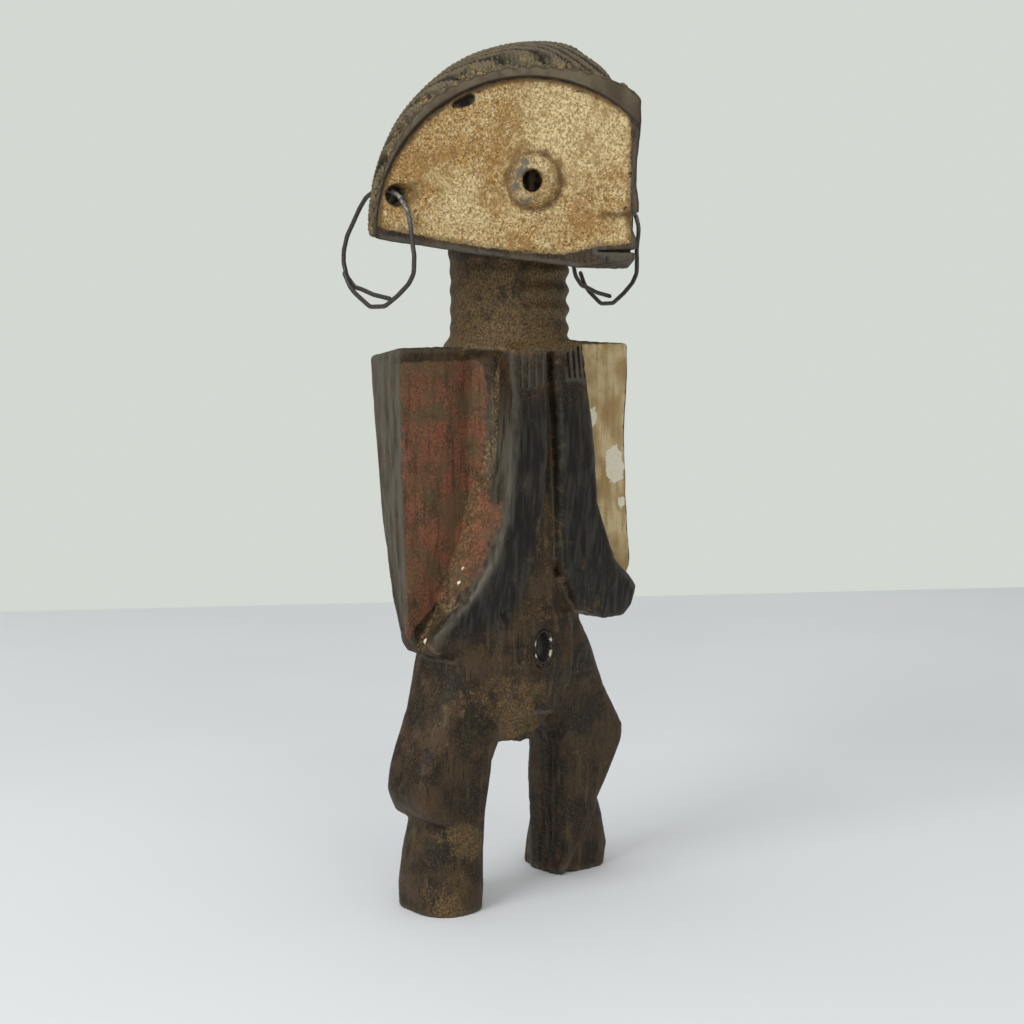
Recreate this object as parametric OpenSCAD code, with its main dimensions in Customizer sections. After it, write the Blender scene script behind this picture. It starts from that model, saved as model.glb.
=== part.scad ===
// Standing carved wooden doll. The figure is cut from one block: a wedge-shaped
// head under a braided cap of hair, a ringed neck, arms folded up to the chest
// and two short bent legs. A cowrie shell sits in a bed of resin in the belly,
// and an open hoop of iron wire hangs through each ear.
// The ground is z = 0, the face looks along -Y, and the figure's left is +X.

/* [Head] */
// Height of the whole figure
figure_h = 381; // [379:1:384]
// Half the width across the ears, and the radius of the head's round top
head_r = 77; // [75:1:79]
// Distance from the neck axis forward to the brow
face_reach = 87; // [84:1:90]
// Distance from the neck axis back to the back of the head
head_back = 35; // [33:1:38]
// Height of the chin
chin_z = 287; // [285:1:289]
// Height of the lower tip of each ear
ear_tip_z = 301; // [299:1:303]
// Radius of the hair's profile from the side
crown_r = 61; // [60:1:62]

/* [Face] */
// Radius of the round upper edge of each painted panel
panel_r = 64.5; // [62:0.5:66]
// Depth of each panel below the headband
panel_depth = 2.3; // [1.5:0.1:3]
// Outer radius of the raised ring round each eye
eye_r = 10.3; // [9:0.1:11]
// Height of the eye ring above the panel
eye_h = 5.5; // [3:0.5:7]
// Radius of the hole in each eye
eye_hole_r = 4.3; // [3:0.1:5]
// Depth of the hole in each eye, from the top of the ring
eye_hole_depth = 14; // [8:1:18]
// Height of the slot cut for the mouth
mouth_h = 1.8; // [1:0.2:3]
// Length of the mouth along each panel
mouth_length = 18; // [12:1:22]

/* [Neck] */
// Radius of the neck between its carved rings
neck_r = 25.5; // [24:0.5:27]
// Number of carved rings round the neck
neck_rings = 4; // [3:1:5]

/* [Body] */
// Height of the shoulders
shoulder_z = 250; // [248:1:253]
// Half the width across the shoulders
shoulder_half = 67; // [65:1:69]
// Radius of the trunk
trunk_r = 26; // [24:1:28]
// Thickness of the shoulder plates
plate_t = 19; // [16:1:21]
// Width of each forearm
forearm_w = 21; // [18:1:22]
// How far the forearms stand in front of the shoulder plates
forearm_rise = 21; // [16:1:24]

/* [Legs] */
// Distance from the centre line to the middle of each foot
foot_x = 44; // [42:1:46]
// Radius of each foot at the ground
foot_r = 18.5; // [17:0.5:19.5]
// Distance by which the right foot stands in front of the left
stride = 13; // [8:1:16]

/* [Ears and hoops] */
// Radius of the hole through each ear
ear_hole_r = 4.6; // [4.5:0.1:5]
// Diameter of the iron wire
wire_d = 2.1; // [1.8:0.1:2.3]
// Radius of each hoop, to the middle of the wire
hoop_r = 24.8; // [24.5:0.1:25]
// Angle by which the two ends of each hoop overlap
hoop_overlap = 80; // [40:5:90]

/* [Navel shell] */
// Length of the shell
shell_length = 18; // [16:0.5:20]
// Width of the shell
shell_w = 13; // [11:0.5:14]
// Thickness of the shell's wall
shell_t = 1.2; // [0.8:0.1:1.6]
// Thickness of the resin round the shell
resin_t = 1.4; // [1:0.1:2]

/* [Hidden] */

$fn = 96;
hull_fn = 32;
far = 400;
// Thin slice at each end of a blended shape
slab = 2;

// The neck axis stands behind the middle of the figure's depth.
neck_axis_y = (face_reach - head_back) / 2;

// Head: each face panel runs from the brow ridge back to the ear.
head_axis_z = figure_h - head_r;
ear_y = 1;
face_angle = atan2(face_reach + ear_y, head_r);
back_arc_sag = head_back - ear_y;
back_arc_r = (head_r * head_r + back_arc_sag * back_arc_sag) / (2 * back_arc_sag);
crown_y = -20;
crown_z = figure_h - crown_r + 1;
brow_z = 355;
hairline_y = -69;
hairline_z = 364;
jaw_y = -64;
jaw_drop = 2;
nape_rise = 3;

// Face, measured along a panel from the ridge and up from the ground
panel_s = 48.5;
panel_z = 300;
eye_s = 46;
eye_z = 321.5;
ear_hole_s = 100;
ear_hole_z = 315.5;
mouth_z = 292.5;
mouth_depth = 2.5;
nose_base_z = 307.5;
lip_z = 297;
nose_depth = 3;
past = 5;
ridge_setback = panel_depth / cos(face_angle);

// Neck
neck_top_z = 305;
neck_ring_pitch = 8.5;
neck_ring_r = 4.6;
neck_ring_rise = 1.5;
neck_first_ring_z = shoulder_z + 8;
neck_flare = 4;

// Arms
hand_x = forearm_w / 2 + 1;
panel_face_y = -8;
elbow_r = 22;
elbow_rise = 10;
right_elbow = [47, 134];
left_elbow = [44, 145];
right_bend_z = 187;
left_bend_z = 215;
hand_gap = 2;
hand_gap_depth = 8;

// Trunk and legs
waist_z = 160;
hip_x = 22;
hip_z = 120;
hip_r = 22;
crotch_z = 72;
crotch_r = 20;
knee_x = 46;
knee_r = 23;
knee_top_z = 63;
knee_low_z = 52;
undercut_h = 12;
calf_x = 41;
calf_r = 15;
calf_top_z = 44;
foot_h = 14;
foot_mid_y = 3.5;

// Navel
navel_z = 115;
belly_y = -26;
shell_cut = 2.6;
shell_axis_y = belly_y + shell_cut;
tooth_count = 7;
tooth_w = 0.7;
tooth_reach = 1.2;
tooth_depth = 1.6;
tooth_pitch = 1.7;
egg_steps = 16;

// Hoops
ear_hole_x = ear_hole_s * cos(face_angle);
hoop_y = 4.5;
hoop_z = 293.7;
hoop_ends_at = -62;
hoop_steps = 64;
wire_sides = 12;
wire_gap = 0.15;
wire_lift = (wire_d + wire_gap) * (360 + hoop_overlap) / 360;

// Places the children at the left ear's side and mirrors them for the right.
module both_sides() {
    for (side = [0, 1]) mirror([side, 0, 0]) children();
}

// Frame of a face panel: x runs along it from the ridge, -y points out of it.
module on_face() {
    both_sides()
        translate([0, -face_reach, 0])
            rotate([0, 0, face_angle]) children();
}

// Extrudes an outline drawn in y and z across the figure's whole width.
module across_x() {
    rotate([90, 0, 90]) linear_extrude(height = far, center = true) children();
}

// Extrudes an outline drawn in x and z from y = back to y = front.
module along_y(front, back) {
    translate([0, back, 0]) rotate([90, 0, 0]) linear_extrude(height = back - front) children();
}

// Plan of the head: two straight panels in front and one arc behind
module head_plan() {
    intersection() {
        polygon([
            [0, -face_reach],
            [2 * head_r, -face_reach + 2 * (face_reach + ear_y)],
            [-2 * head_r, -face_reach + 2 * (face_reach + ear_y)]
        ]);
        translate([0, head_back - back_arc_r]) circle(r = back_arc_r);
    }
}

// Side view of the head: the hair's arc, the brow that juts under it, the jaw line
module head_profile() {
    difference() {
        union() {
            translate([crown_y, crown_z]) circle(r = crown_r);
            polygon([
                [-face_reach, chin_z - jaw_drop],
                [head_back, chin_z - jaw_drop],
                [head_back, crown_z],
                [crown_y, crown_z],
                [hairline_y, hairline_z],
                [-face_reach, brow_z]
            ]);
        }
        polygon([
            [-far, chin_z],
            [-face_reach, chin_z],
            [jaw_y, chin_z - jaw_drop],
            [ear_y, ear_tip_z],
            [head_back, ear_tip_z + nape_rise],
            [far, ear_tip_z + nape_rise],
            [far, 0],
            [-far, 0]
        ]);
    }
}

// Front view of the head: a half round on a block
module head_front() {
    translate([0, head_axis_z]) circle(r = head_r);
    translate([-head_r, 0]) square([2 * head_r, head_axis_z]);
}

module head() {
    intersection() {
        translate([0, 0, chin_z - jaw_drop]) linear_extrude(height = figure_h) head_plan();
        across_x() head_profile();
        along_y(-far / 2, far / 2) head_front();
    }
}

// Places the children on the middle of an eye, with z pointing out of the panel.
module at_eye() {
    on_face() translate([eye_s, panel_depth, eye_z]) rotate([90, 0, 0]) children();
}

module eye_ring(sunk) {
    translate([0, 0, -sunk]) cylinder(r1 = eye_r, r2 = eye_r - 1, h = eye_h + sunk);
}

module eye_hole() {
    translate([0, 0, eye_h - eye_hole_depth]) cylinder(r = eye_hole_r, h = eye_hole_depth + past);
}

module panel_cuts() {
    difference() {
        on_face() translate([panel_s, panel_depth, panel_z]) rotate([90, 0, 0]) cylinder(r = panel_r, h = 20);
        at_eye() eye_ring(0);
    }
}

// The recess under the nose, which leaves the nose and the lip standing
module nose_cut() {
    translate([-far / 2, -face_reach - past, lip_z])
        cube([far, past + nose_depth + ridge_setback, nose_base_z - lip_z]);
}

module mouth_cut() {
    on_face() translate([-past, -past, mouth_z - mouth_h / 2])
        cube([mouth_length + past, past + panel_depth + mouth_depth, mouth_h]);
}

// The head with its panels sunk, its eyes raised and its nose and mouth cut
module face() {
    difference() {
        union() {
            difference() {
                head();
                panel_cuts();
            }
            at_eye() eye_ring(1);
        }
        at_eye() eye_hole();
        nose_cut();
        mouth_cut();
    }
}

module neck() {
    translate([0, 0, shoulder_z - slab]) cylinder(r = neck_r, h = neck_top_z - shoulder_z + slab);
    for (i = [0 : neck_rings - 1])
        translate([0, 0, neck_first_ring_z + i * neck_ring_pitch])
            rotate_extrude() translate([neck_r + neck_ring_rise - neck_ring_r, 0]) circle(r = neck_ring_r);
    translate([0, 0, shoulder_z]) cylinder(r1 = neck_r + neck_flare, r2 = neck_r, h = neck_flare);
}

// One arm seen from the front, on the figure's left: a shoulder plate that ends
// in the round of the elbow
module plate_outline(elbow) {
    polygon([
        [0, shoulder_z],
        [shoulder_half, shoulder_z],
        [elbow[0] + elbow_r, elbow[1]],
        [elbow[0], elbow[1] - elbow_r],
        [0, elbow[1] - elbow_r / 2]
    ]);
    translate(elbow) circle(r = elbow_r);
}

// The forearm seen from the front: an arc out of the elbow, then straight up
module forearm_outline(elbow, bend_z) {
    rise = bend_z - elbow[1];
    reach = elbow[0] - hand_x;
    bend_r = (rise * rise + reach * reach) / (2 * reach);
    sweep = asin(min(1, rise / bend_r));
    translate([hand_x - forearm_w / 2, bend_z]) square([forearm_w, shoulder_z - bend_z]);
    translate([hand_x + bend_r, bend_z]) intersection() {
        difference() {
            circle(r = bend_r + forearm_w / 2);
            circle(r = bend_r - forearm_w / 2);
        }
        polygon([
            [0, 0],
            [-2 * bend_r, 0],
            [-2 * bend_r, -2 * bend_r],
            [-2 * bend_r * cos(sweep), -2 * bend_r * sin(sweep)]
        ]);
    }
    translate(elbow) circle(r = elbow_r);
}

module arm(elbow, bend_z) {
    along_y(panel_face_y, panel_face_y + plate_t) plate_outline(elbow);
    intersection() {
        along_y(panel_face_y - forearm_rise, panel_face_y + slab) forearm_outline(elbow, bend_z);
        across_x() polygon([
            [panel_face_y - forearm_rise, shoulder_z],
            [panel_face_y - forearm_rise, bend_z],
            [panel_face_y - elbow_rise, elbow[1] - elbow_r],
            [panel_face_y + slab, elbow[1] - elbow_r],
            [panel_face_y + slab, shoulder_z]
        ]);
    }
}

// The narrow gap between the two hands
module hand_cut() {
    translate([-hand_gap / 2, panel_face_y - forearm_rise - 1, right_bend_z])
        cube([hand_gap, hand_gap_depth, shoulder_z - right_bend_z + 1]);
}

module trunk() {
    translate([0, 0, hip_z]) cylinder(r = trunk_r, h = shoulder_z - hip_z);
    hull() {
        translate([0, 0, waist_z]) cylinder(r = trunk_r, h = slab, $fn = hull_fn);
        both_sides() translate([hip_x - 4, 0, hip_z]) cylinder(r = trunk_r, h = slab, $fn = hull_fn);
        both_sides() translate([hip_x, 2, crotch_z]) cylinder(r = crotch_r, h = slab, $fn = hull_fn);
    }
}

// One leg on the figure's left: a thigh that swells to the knee, an undercut
// below it, and a lower leg that widens to the foot
module leg(shift_y) {
    hull() {
        translate([hip_x, 0, hip_z]) cylinder(r = hip_r, h = slab, $fn = hull_fn);
        translate([knee_x, shift_y, knee_top_z]) cylinder(r = knee_r, h = slab, $fn = hull_fn);
    }
    translate([knee_x, shift_y, knee_low_z]) cylinder(r = knee_r, h = knee_top_z - knee_low_z + slab);
    translate([knee_x, shift_y, knee_low_z - undercut_h])
        cylinder(r1 = knee_r - undercut_h / 2, r2 = knee_r, h = undercut_h);
    hull() {
        translate([foot_x, shift_y, 0]) cylinder(r = foot_r, h = foot_h, $fn = hull_fn);
        translate([calf_x, shift_y, calf_top_z]) cylinder(r = calf_r, h = slab, $fn = hull_fn);
    }
}

// Half an egg standing on end, r wide and 2 * half_length tall, for turning about z
module egg(r, half_length) {
    rotate_extrude() polygon([
        for (i = [0 : egg_steps])
            let (a = -90 + 180 * i / egg_steps)
            [r * cos(a), half_length * sin(a)]
    ]);
}

module in_belly() {
    translate([0, shell_axis_y, navel_z]) children();
}

// Keeps what lies behind the flat face of the navel.
module behind_navel_face() {
    intersection() {
        children();
        translate([-far / 2, -shell_cut, -far / 2]) cube(far);
    }
}

module navel_socket() {
    in_belly() egg(shell_w / 2 + resin_t, shell_length / 2 + resin_t);
}

module ear_holes() {
    both_sides()
        translate([ear_hole_x, 0, ear_hole_z]) rotate([90, 0, 0])
            cylinder(r = ear_hole_r, h = face_reach, center = true);
}

module carved_figure() {
    color([0.16, 0.11, 0.08])
        translate([0, neck_axis_y, 0]) {
            difference() {
                union() {
                    face();
                    neck();
                    trunk();
                    arm(left_elbow, left_bend_z);
                    mirror([1, 0, 0]) arm(right_elbow, right_bend_z);
                    leg(foot_mid_y + stride / 2);
                    mirror([1, 0, 0]) leg(foot_mid_y - stride / 2);
                }
                hand_cut();
                ear_holes();
                navel_socket();
            }
        }
}

// The shell lies with its cut back level with the belly, so its hollow shows.
module navel_cowrie() {
    color([0.86, 0.82, 0.74])
        translate([0, neck_axis_y, 0]) in_belly() behind_navel_face() {
            difference() {
                egg(shell_w / 2, shell_length / 2);
                egg(shell_w / 2 - shell_t, shell_length / 2 - shell_t);
            }
            intersection() {
                egg(shell_w / 2 - shell_t / 2, shell_length / 2 - shell_t / 2);
                for (i = [0 : tooth_count - 1])
                    translate([0, 0, (i - (tooth_count - 1) / 2) * tooth_pitch])
                        both_sides()
                            translate([shell_w / 2 - shell_t - tooth_reach, -shell_cut, -tooth_w / 2])
                                cube([2 * tooth_reach, tooth_depth, tooth_w]);
            }
        }
}

module navel_resin() {
    color([0.10, 0.07, 0.05])
        translate([0, neck_axis_y, 0]) in_belly() behind_navel_face() difference() {
            egg(shell_w / 2 + resin_t, shell_length / 2 + resin_t);
            egg(shell_w / 2, shell_length / 2);
        }
}

// Angle, sideways place and rim of one ring of the hoop's wire. The two ends pass
// each other low at the back, one on each side of the hoop's plane.
function hoop_turn(i) = hoop_ends_at - hoop_overlap / 2 + (360 + hoop_overlap) * i / hoop_steps;
function hoop_side(i) = wire_lift * (i / hoop_steps - 0.5);
function hoop_ring(i) = [
    for (k = [0 : wire_sides - 1])
        let (
            turn = hoop_turn(i),
            around = 360 * k / wire_sides,
            reach = hoop_r + wire_d / 2 * cos(around)
        )
        [hoop_side(i) + wire_d / 2 * sin(around), reach * cos(turn), reach * sin(turn)]
];

module hoop() {
    points = [for (i = [0 : hoop_steps]) each hoop_ring(i)];
    last = hoop_steps * wire_sides;
    sides = [
        for (i = [0 : hoop_steps - 1], k = [0 : wire_sides - 1])
            let (a = i * wire_sides + k, b = i * wire_sides + (k + 1) % wire_sides)
            [a, b, b + wire_sides, a + wire_sides]
    ];
    ends = [
        [for (k = [wire_sides - 1 : -1 : 0]) k],
        [for (k = [0 : wire_sides - 1]) last + k]
    ];
    polyhedron(points = points, faces = concat(sides, ends));
}

module left_earring() {
    color([0.20, 0.19, 0.19])
        translate([ear_hole_x, neck_axis_y + hoop_y, hoop_z]) hoop();
}

module right_earring() {
    color([0.20, 0.19, 0.19])
        mirror([1, 0, 0]) translate([ear_hole_x, neck_axis_y + hoop_y, hoop_z]) hoop();
}

carved_figure();
navel_cowrie();
navel_resin();
right_earring();
left_earring();
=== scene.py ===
import functools
import math
from types import SimpleNamespace

import bmesh
import bpy
import numpy as np
import openvdb
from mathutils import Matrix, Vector


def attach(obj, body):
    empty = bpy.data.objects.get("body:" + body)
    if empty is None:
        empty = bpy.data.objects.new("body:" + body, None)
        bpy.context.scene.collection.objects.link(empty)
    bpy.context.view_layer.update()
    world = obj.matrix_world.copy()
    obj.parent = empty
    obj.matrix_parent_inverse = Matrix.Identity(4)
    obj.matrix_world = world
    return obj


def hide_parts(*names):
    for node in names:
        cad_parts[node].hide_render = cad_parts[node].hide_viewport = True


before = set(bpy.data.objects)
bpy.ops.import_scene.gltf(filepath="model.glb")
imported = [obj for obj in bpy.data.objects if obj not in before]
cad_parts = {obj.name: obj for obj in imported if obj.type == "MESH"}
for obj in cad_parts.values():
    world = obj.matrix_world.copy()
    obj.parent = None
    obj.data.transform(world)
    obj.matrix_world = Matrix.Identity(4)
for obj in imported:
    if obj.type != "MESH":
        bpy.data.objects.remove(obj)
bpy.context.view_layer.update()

MM = 0.001

# ---- Camera: a long lens at the photograph's viewing angle, 40 degrees round to
# the figure's right and a little above it


def add_camera():
    azimuth = math.radians(39.74)
    elevation = math.radians(6.61)
    distance = 0.956
    aim_side = 0.0023
    aim_z = 0.1745
    level = math.cos(elevation)
    back = Vector((-math.sin(azimuth) * level, -math.cos(azimuth) * level, math.sin(elevation)))
    right = Vector((math.cos(azimuth), -math.sin(azimuth), 0.0))
    aim = Vector((0.0, NECK_AXIS_Y * MM, aim_z)) + right * aim_side
    data = bpy.data.cameras.new("camera")
    data.lens = 73.8
    data.sensor_width = 36.0
    data.clip_start = 0.05
    camera = bpy.data.objects.new("camera", data)
    camera.location = aim + back * distance
    camera.rotation_euler = back.to_track_quat("Z", "Y").to_euler()
    bpy.context.scene.collection.objects.link(camera)
    bpy.context.scene.camera = camera


# ---- The carving's own sizes, in millimetres from the neck axis (x = 0, y = 0)
# and up from the ground. The figure looks along -y and its left is +x.

# The neck axis stands this far behind the middle of the figure's depth.
NECK_AXIS_Y = 26.0

# Head: two flat panels meet at the ridge of the nose and run back to the ears.
FACE_REACH = 87.8
FACE_ANGLE = math.radians(48.81)
ALONG = math.cos(FACE_ANGLE)
ACROSS = math.sin(FACE_ANGLE)
PANEL_S = 48.5
PANEL_Z = 300.0
PANEL_R = 64.5
PANEL_DEPTH = 2.3
DISH = 3.5
EYE_S = 46.0
EYE_Z = 321.5
EYE_H = 4.8
EAR_X = 65.85
EAR_Z = 315.5
EAR_HOLE_R = 4.8
MOUTH_Z = 292.0

# ---- Distance fields: negative inside, millimetres, on arrays of points


def smooth_min(a, b, k):
    h = np.maximum(k - np.abs(a - b), 0.0)
    return np.minimum(a, b) - h * h / (4.0 * k)


def smooth_max(a, b, k):
    return -smooth_min(-a, -b, k)


def ramp(v, low, high):
    """Rises smoothly from 0 at low to 1 at high."""
    t = np.clip((v - low) / (high - low), 0.0, 1.0)
    return t * t * (3.0 - 2.0 * t)


def fall(v, low, high):
    """Falls smoothly from 1 at low to 0 at high."""
    return 1.0 - ramp(v, low, high)


def along(v, *stations):
    """A value that changes with v, by straight lines between (v, value) stations."""
    stations = sorted(stations)
    return np.interp(v, [s[0] for s in stations], [s[1] for s in stations]).astype(np.float32)


def polygon_distance(u, v, points):
    """Signed distance in the plane to a closed outline of straight sides."""
    nearest = np.full(u.shape, 1e6, np.float32)
    inside = np.zeros(u.shape, bool)
    for (u0, v0), (u1, v1) in zip(points, points[1:] + points[:1]):
        du, dv = u1 - u0, v1 - v0
        t = np.clip(((u - u0) * du + (v - v0) * dv) / (du * du + dv * dv), 0.0, 1.0)
        nearest = np.minimum(nearest, (u - u0 - t * du) ** 2 + (v - v0 - t * dv) ** 2)
        if dv != 0.0:
            crosses = (v0 > v) != (v1 > v)
            inside ^= crosses & (u < u0 + du * (v - v0) / dv)
    return np.where(inside, -1.0, 1.0).astype(np.float32) * np.sqrt(nearest)


def rounded_box(u, v, half_u, half_v, r):
    qu = np.abs(u) - half_u + r
    qv = np.abs(v) - half_v + r
    outside = np.sqrt(np.maximum(qu, 0.0) ** 2 + np.maximum(qv, 0.0) ** 2)
    return outside + np.minimum(np.maximum(qu, qv), 0.0) - r


def oval_distance(*axes):
    """Distance to an oval about 0; each axis is a place along it and a half-length."""
    near = np.sqrt(sum((v / half) ** 2 for v, half in axes)) + 1e-6
    slope = np.sqrt(sum((v / half ** 2) ** 2 for v, half in axes)) + 1e-6
    return near * (near - 1.0) / slope


LATTICE_N = 32
LATTICE = np.random.RandomState(7).uniform(-1.0, 1.0, (LATTICE_N,) * 3).astype(np.float32)


def lumps(x, y, z, size, seed):
    """Smooth random values between -1 and 1, with lumps about size millimetres across."""
    cells, parts = [], []
    for shift, v in zip((0.37, 0.71, 0.13), (x, y, z)):
        w = v / np.float32(size) + np.float32(seed * 5.17 + shift)
        cell = np.floor(w)
        part = (w - cell).astype(np.float32)
        cells.append(cell.astype(np.int32) % LATTICE_N)
        parts.append(part * part * (3.0 - 2.0 * part))
    (i, j, k), (a, b, c) = cells, parts
    i1, j1, k1 = (i + 1) % LATTICE_N, (j + 1) % LATTICE_N, (k + 1) % LATTICE_N
    low = LATTICE[i, j, k] * (1 - a) + LATTICE[i1, j, k] * a
    low = low * (1 - b) + (LATTICE[i, j1, k] * (1 - a) + LATTICE[i1, j1, k] * a) * b
    high = LATTICE[i, j, k1] * (1 - a) + LATTICE[i1, j, k1] * a
    high = high * (1 - b) + (LATTICE[i, j1, k1] * (1 - a) + LATTICE[i1, j1, k1] * a) * b
    return low * (1 - c) + high * c


# ---- Head


def panel_frame(x, y):
    """Place along a face panel from the ridge, and depth behind its slightly hollow front."""
    side = np.sqrt(x * x + 0.4)
    forward = y + FACE_REACH
    s = side * ALONG + forward * ACROSS
    hollow = DISH * ramp(s, 0.0, 48.0) * fall(s, 58.0, 112.0)
    return s, forward * ALONG - side * ACROSS - hollow


def panel_rho(x, s, z):
    """Distance from the middle of a panel; the left panel's arch is a little lower."""
    squeeze = 1.0 + 0.11 * ramp(x, -2.0, 8.0)
    return np.sqrt((s - PANEL_S) ** 2 + ((z - PANEL_Z) * np.where(z > PANEL_Z, squeeze, 1.0)) ** 2)


def band_edge(s):
    """Distance of the headband's outer edge from the panel's middle."""
    return PANEL_R + along(s, (5, 8.6), (40, 4.0), (92, 4.0), (110, 1.6))


def hair_depth(x, s, q, z):
    """How far a point is inside the hair's edge; negative on the headband and the face."""
    rho = panel_rho(x, s, z)
    turn = np.arctan2(z - PANEL_Z, s - PANEL_S) * PANEL_R
    scallop = 0.5 * np.cos(turn * (2 * math.pi / 6.0))
    return np.maximum(rho - band_edge(s), q - 5.0) + scallop


def dome_distance(x, y, z):
    """The round of the head: an egg behind, and a fuller crown in front."""
    rise = np.maximum(z - 304.0, 0.0)
    egg = oval_distance((x, 81.0), (y + 20.0, 55.0), (rise, 78.0))
    side_view = np.sqrt((y + 18.0) ** 2 + np.maximum(z - 297.5, 0.0) ** 2) - 84.0
    front_view = np.sqrt(x * x + rise * rise) - 77.0
    crown = smooth_max(smooth_max(side_view, front_view, 6.0), y + 30.0, 20.0)
    dome = smooth_min(egg, crown, 12.0)
    # The crown falls away faster over the left brow.
    slant = 0.769 * x - 0.639 * y
    left_brow = np.sqrt(np.maximum(slant - 14.0, 0.0) ** 2 + np.maximum(z - 346.0, 0.0) ** 2) - 34.4
    left_brow -= 9.0 * fall(x, -14.0, 2.0) + 6.0 * ramp(slant, 44.0, 52.0)
    return smooth_max(dome, left_brow, 2.0)


# The ridge's profile from the chin up, past the lips and the nose: height, and depth
RIDGE_PROFILE = (
    (284, 0.0), (291, 0.0), (294, -0.7), (297, -0.6), (300, 0.5), (304.5, 1.6), (306.3, 1.8),
    (308.2, -1.6), (312, -1.5), (320, -0.4), (330, -0.7), (338, -1.6), (343, -2.2),
)
# The underside of the head from the chin back: place, and height
JAW_LINE = ((-95, 289.4), (-87, 288.8), (-64, 284.8), (-30, 290.6), (1, 297.6), (35, 302.5))
EYE_RING_R = 10.8
EYE_HOLE_HALF_W = 4.4
EYE_HOLE_HALF_H = 4.9
EYE_HOLE_DEPTH = 9.0


def ridge_depth(s, z):
    """Depth of the panel's floor: it rises to the nose and the lips near the ridge."""
    ridge = along(z, *RIDGE_PROFILE)
    fold = 307.5 + 5.0 * ramp(s, 14.0, 30.0)
    soft_fold = 0.7 * np.exp(-((z - fold + 1.5) / 2.5) ** 2) * ramp(s, 12.0, 17.0) * fall(s, 22.0, 32.0)
    near = fall(s, 7.0, 19.0)
    ear_fade = 1.4 * ramp(s, 96.0, 112.0)
    return PANEL_DEPTH + ridge * near + soft_fold - ear_fade


def head_distance(x, y, z):
    s, q = panel_frame(x, y)
    dome = dome_distance(x, y, z)
    rho = panel_rho(x, s, z)
    core = smooth_max(-q, dome + 2.8, 2.0)
    band = smooth_max(smooth_max(rho - band_edge(s), -q, 1.6), q - 14.0, 2.0)
    body = smooth_min(core, band, 1.0)
    hair = smooth_max(smooth_max(dome, 1.0 - q, 3.5), -hair_depth(x, s, q, z), 1.4)
    body = np.minimum(body, hair)
    under = along(y, *JAW_LINE) - z
    body = smooth_max(body, under * 0.97, 2.6)
    floor = ridge_depth(s, z)
    body = smooth_max(body, -np.maximum(rho - PANEL_R, q - floor), 0.7)
    # Eye: a raised ring with a slanting hole
    out = floor - q
    in_s, in_z = s - EYE_S, z - EYE_Z
    r = np.sqrt(in_s ** 2 + (in_z * 0.97) ** 2)
    ring = smooth_max(smooth_max(r - EYE_RING_R + 0.25 * out, out - EYE_H, 2.6), -out - 3.0, 1.0)
    body = smooth_min(body, ring, 0.5)
    slant = 0.22 * (EYE_H - out)
    hole = np.sqrt(((in_s - slant) / EYE_HOLE_HALF_W) ** 2 + (in_z / EYE_HOLE_HALF_H) ** 2)
    hole = (hole - 1.0) * 4.5
    body = smooth_max(body, -np.maximum(hole, -out - EYE_HOLE_DEPTH), 1.1)
    # Mouth: a slot that narrows away from the ridge
    lips = 0.75 * np.sqrt(np.clip(1.0 - s / 19.5, 0.0, 1.0)) + 0.05
    slot = np.maximum(np.maximum(np.abs(z - MOUTH_Z) - lips, s - 19.0), q - floor - 2.2)
    body = smooth_max(body, -slot, 0.5)
    ear = np.sqrt((np.abs(x) - EAR_X) ** 2 + (z - EAR_Z) ** 2) - EAR_HOLE_R
    return smooth_max(body, -ear, 1.2)


NECK_R = 26.3
NECK_LOW = 249.0
NECK_HIGH = 303.0
NECK_RING_PITCH = 8.5


def neck_distance(x, y, z):
    """A round neck with shallow rings, clearest on its left, that flares at its foot."""
    ring = np.cos((z - 258.0) * (2 * math.pi / NECK_RING_PITCH))
    ring = ring * (0.3 + 0.5 * ramp(0.8 * x - 0.6 * y, -10.0, 20.0))
    r = NECK_R + ring + 3.2 * fall(z, NECK_LOW, NECK_LOW + 8.0) + ramp(z, 283.0, 292.0)
    around = np.sqrt((x + 0.6) ** 2 + (y + 2.0) ** 2)
    return np.maximum(around - r, np.maximum(NECK_LOW - z, z - NECK_HIGH)) * 0.92


# ---- Arms: a shoulder plate behind, and a forearm that runs up from the elbow in
# front. Outlines are (distance from the middle, height).

# The figure's right arm ends in a round elbow, its left arm in a flat cut.
RIGHT_ELBOW = [(44, 113), (34, 116.5), (22, 126), (12, 138)]
LEFT_ELBOW = [(53.5, 124), (42, 123.5), (24.5, 130), (8.6, 155), (6, 204)]
RIGHT_ARM = dict(
    plate=[(0, 252), (68, 252), (66, 214), (65.5, 176), (63.5, 142), (61, 127), (54, 117)]
    + RIGHT_ELBOW + [(0, 160)],
    front=[(1.2, 252), (22, 252), (21, 227), (23, 175), (29, 158), (40, 141), (58, 126.5), (54, 117)]
    + RIGHT_ELBOW + [(5, 155), (1.2, 185)],
    crease=[(1.2, 252), (18, 252), (22, 200), (31, 165), (45, 135), (54, 122), (51, 115.5)]
    + RIGHT_ELBOW + [(5, 155), (1.2, 185)],
    side=((250, 68), (214, 66.5), (176, 66), (142, 64), (120, 62)),
    back_side=((250, 69), (215, 68), (176, 65), (142, 61.5), (125, 57)),
    face_y=((250, -8), (113, -8)),
    back_y=((250, 13), (142, 6), (113, 5)),
    top=(250.8, 0.0),
)
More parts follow.
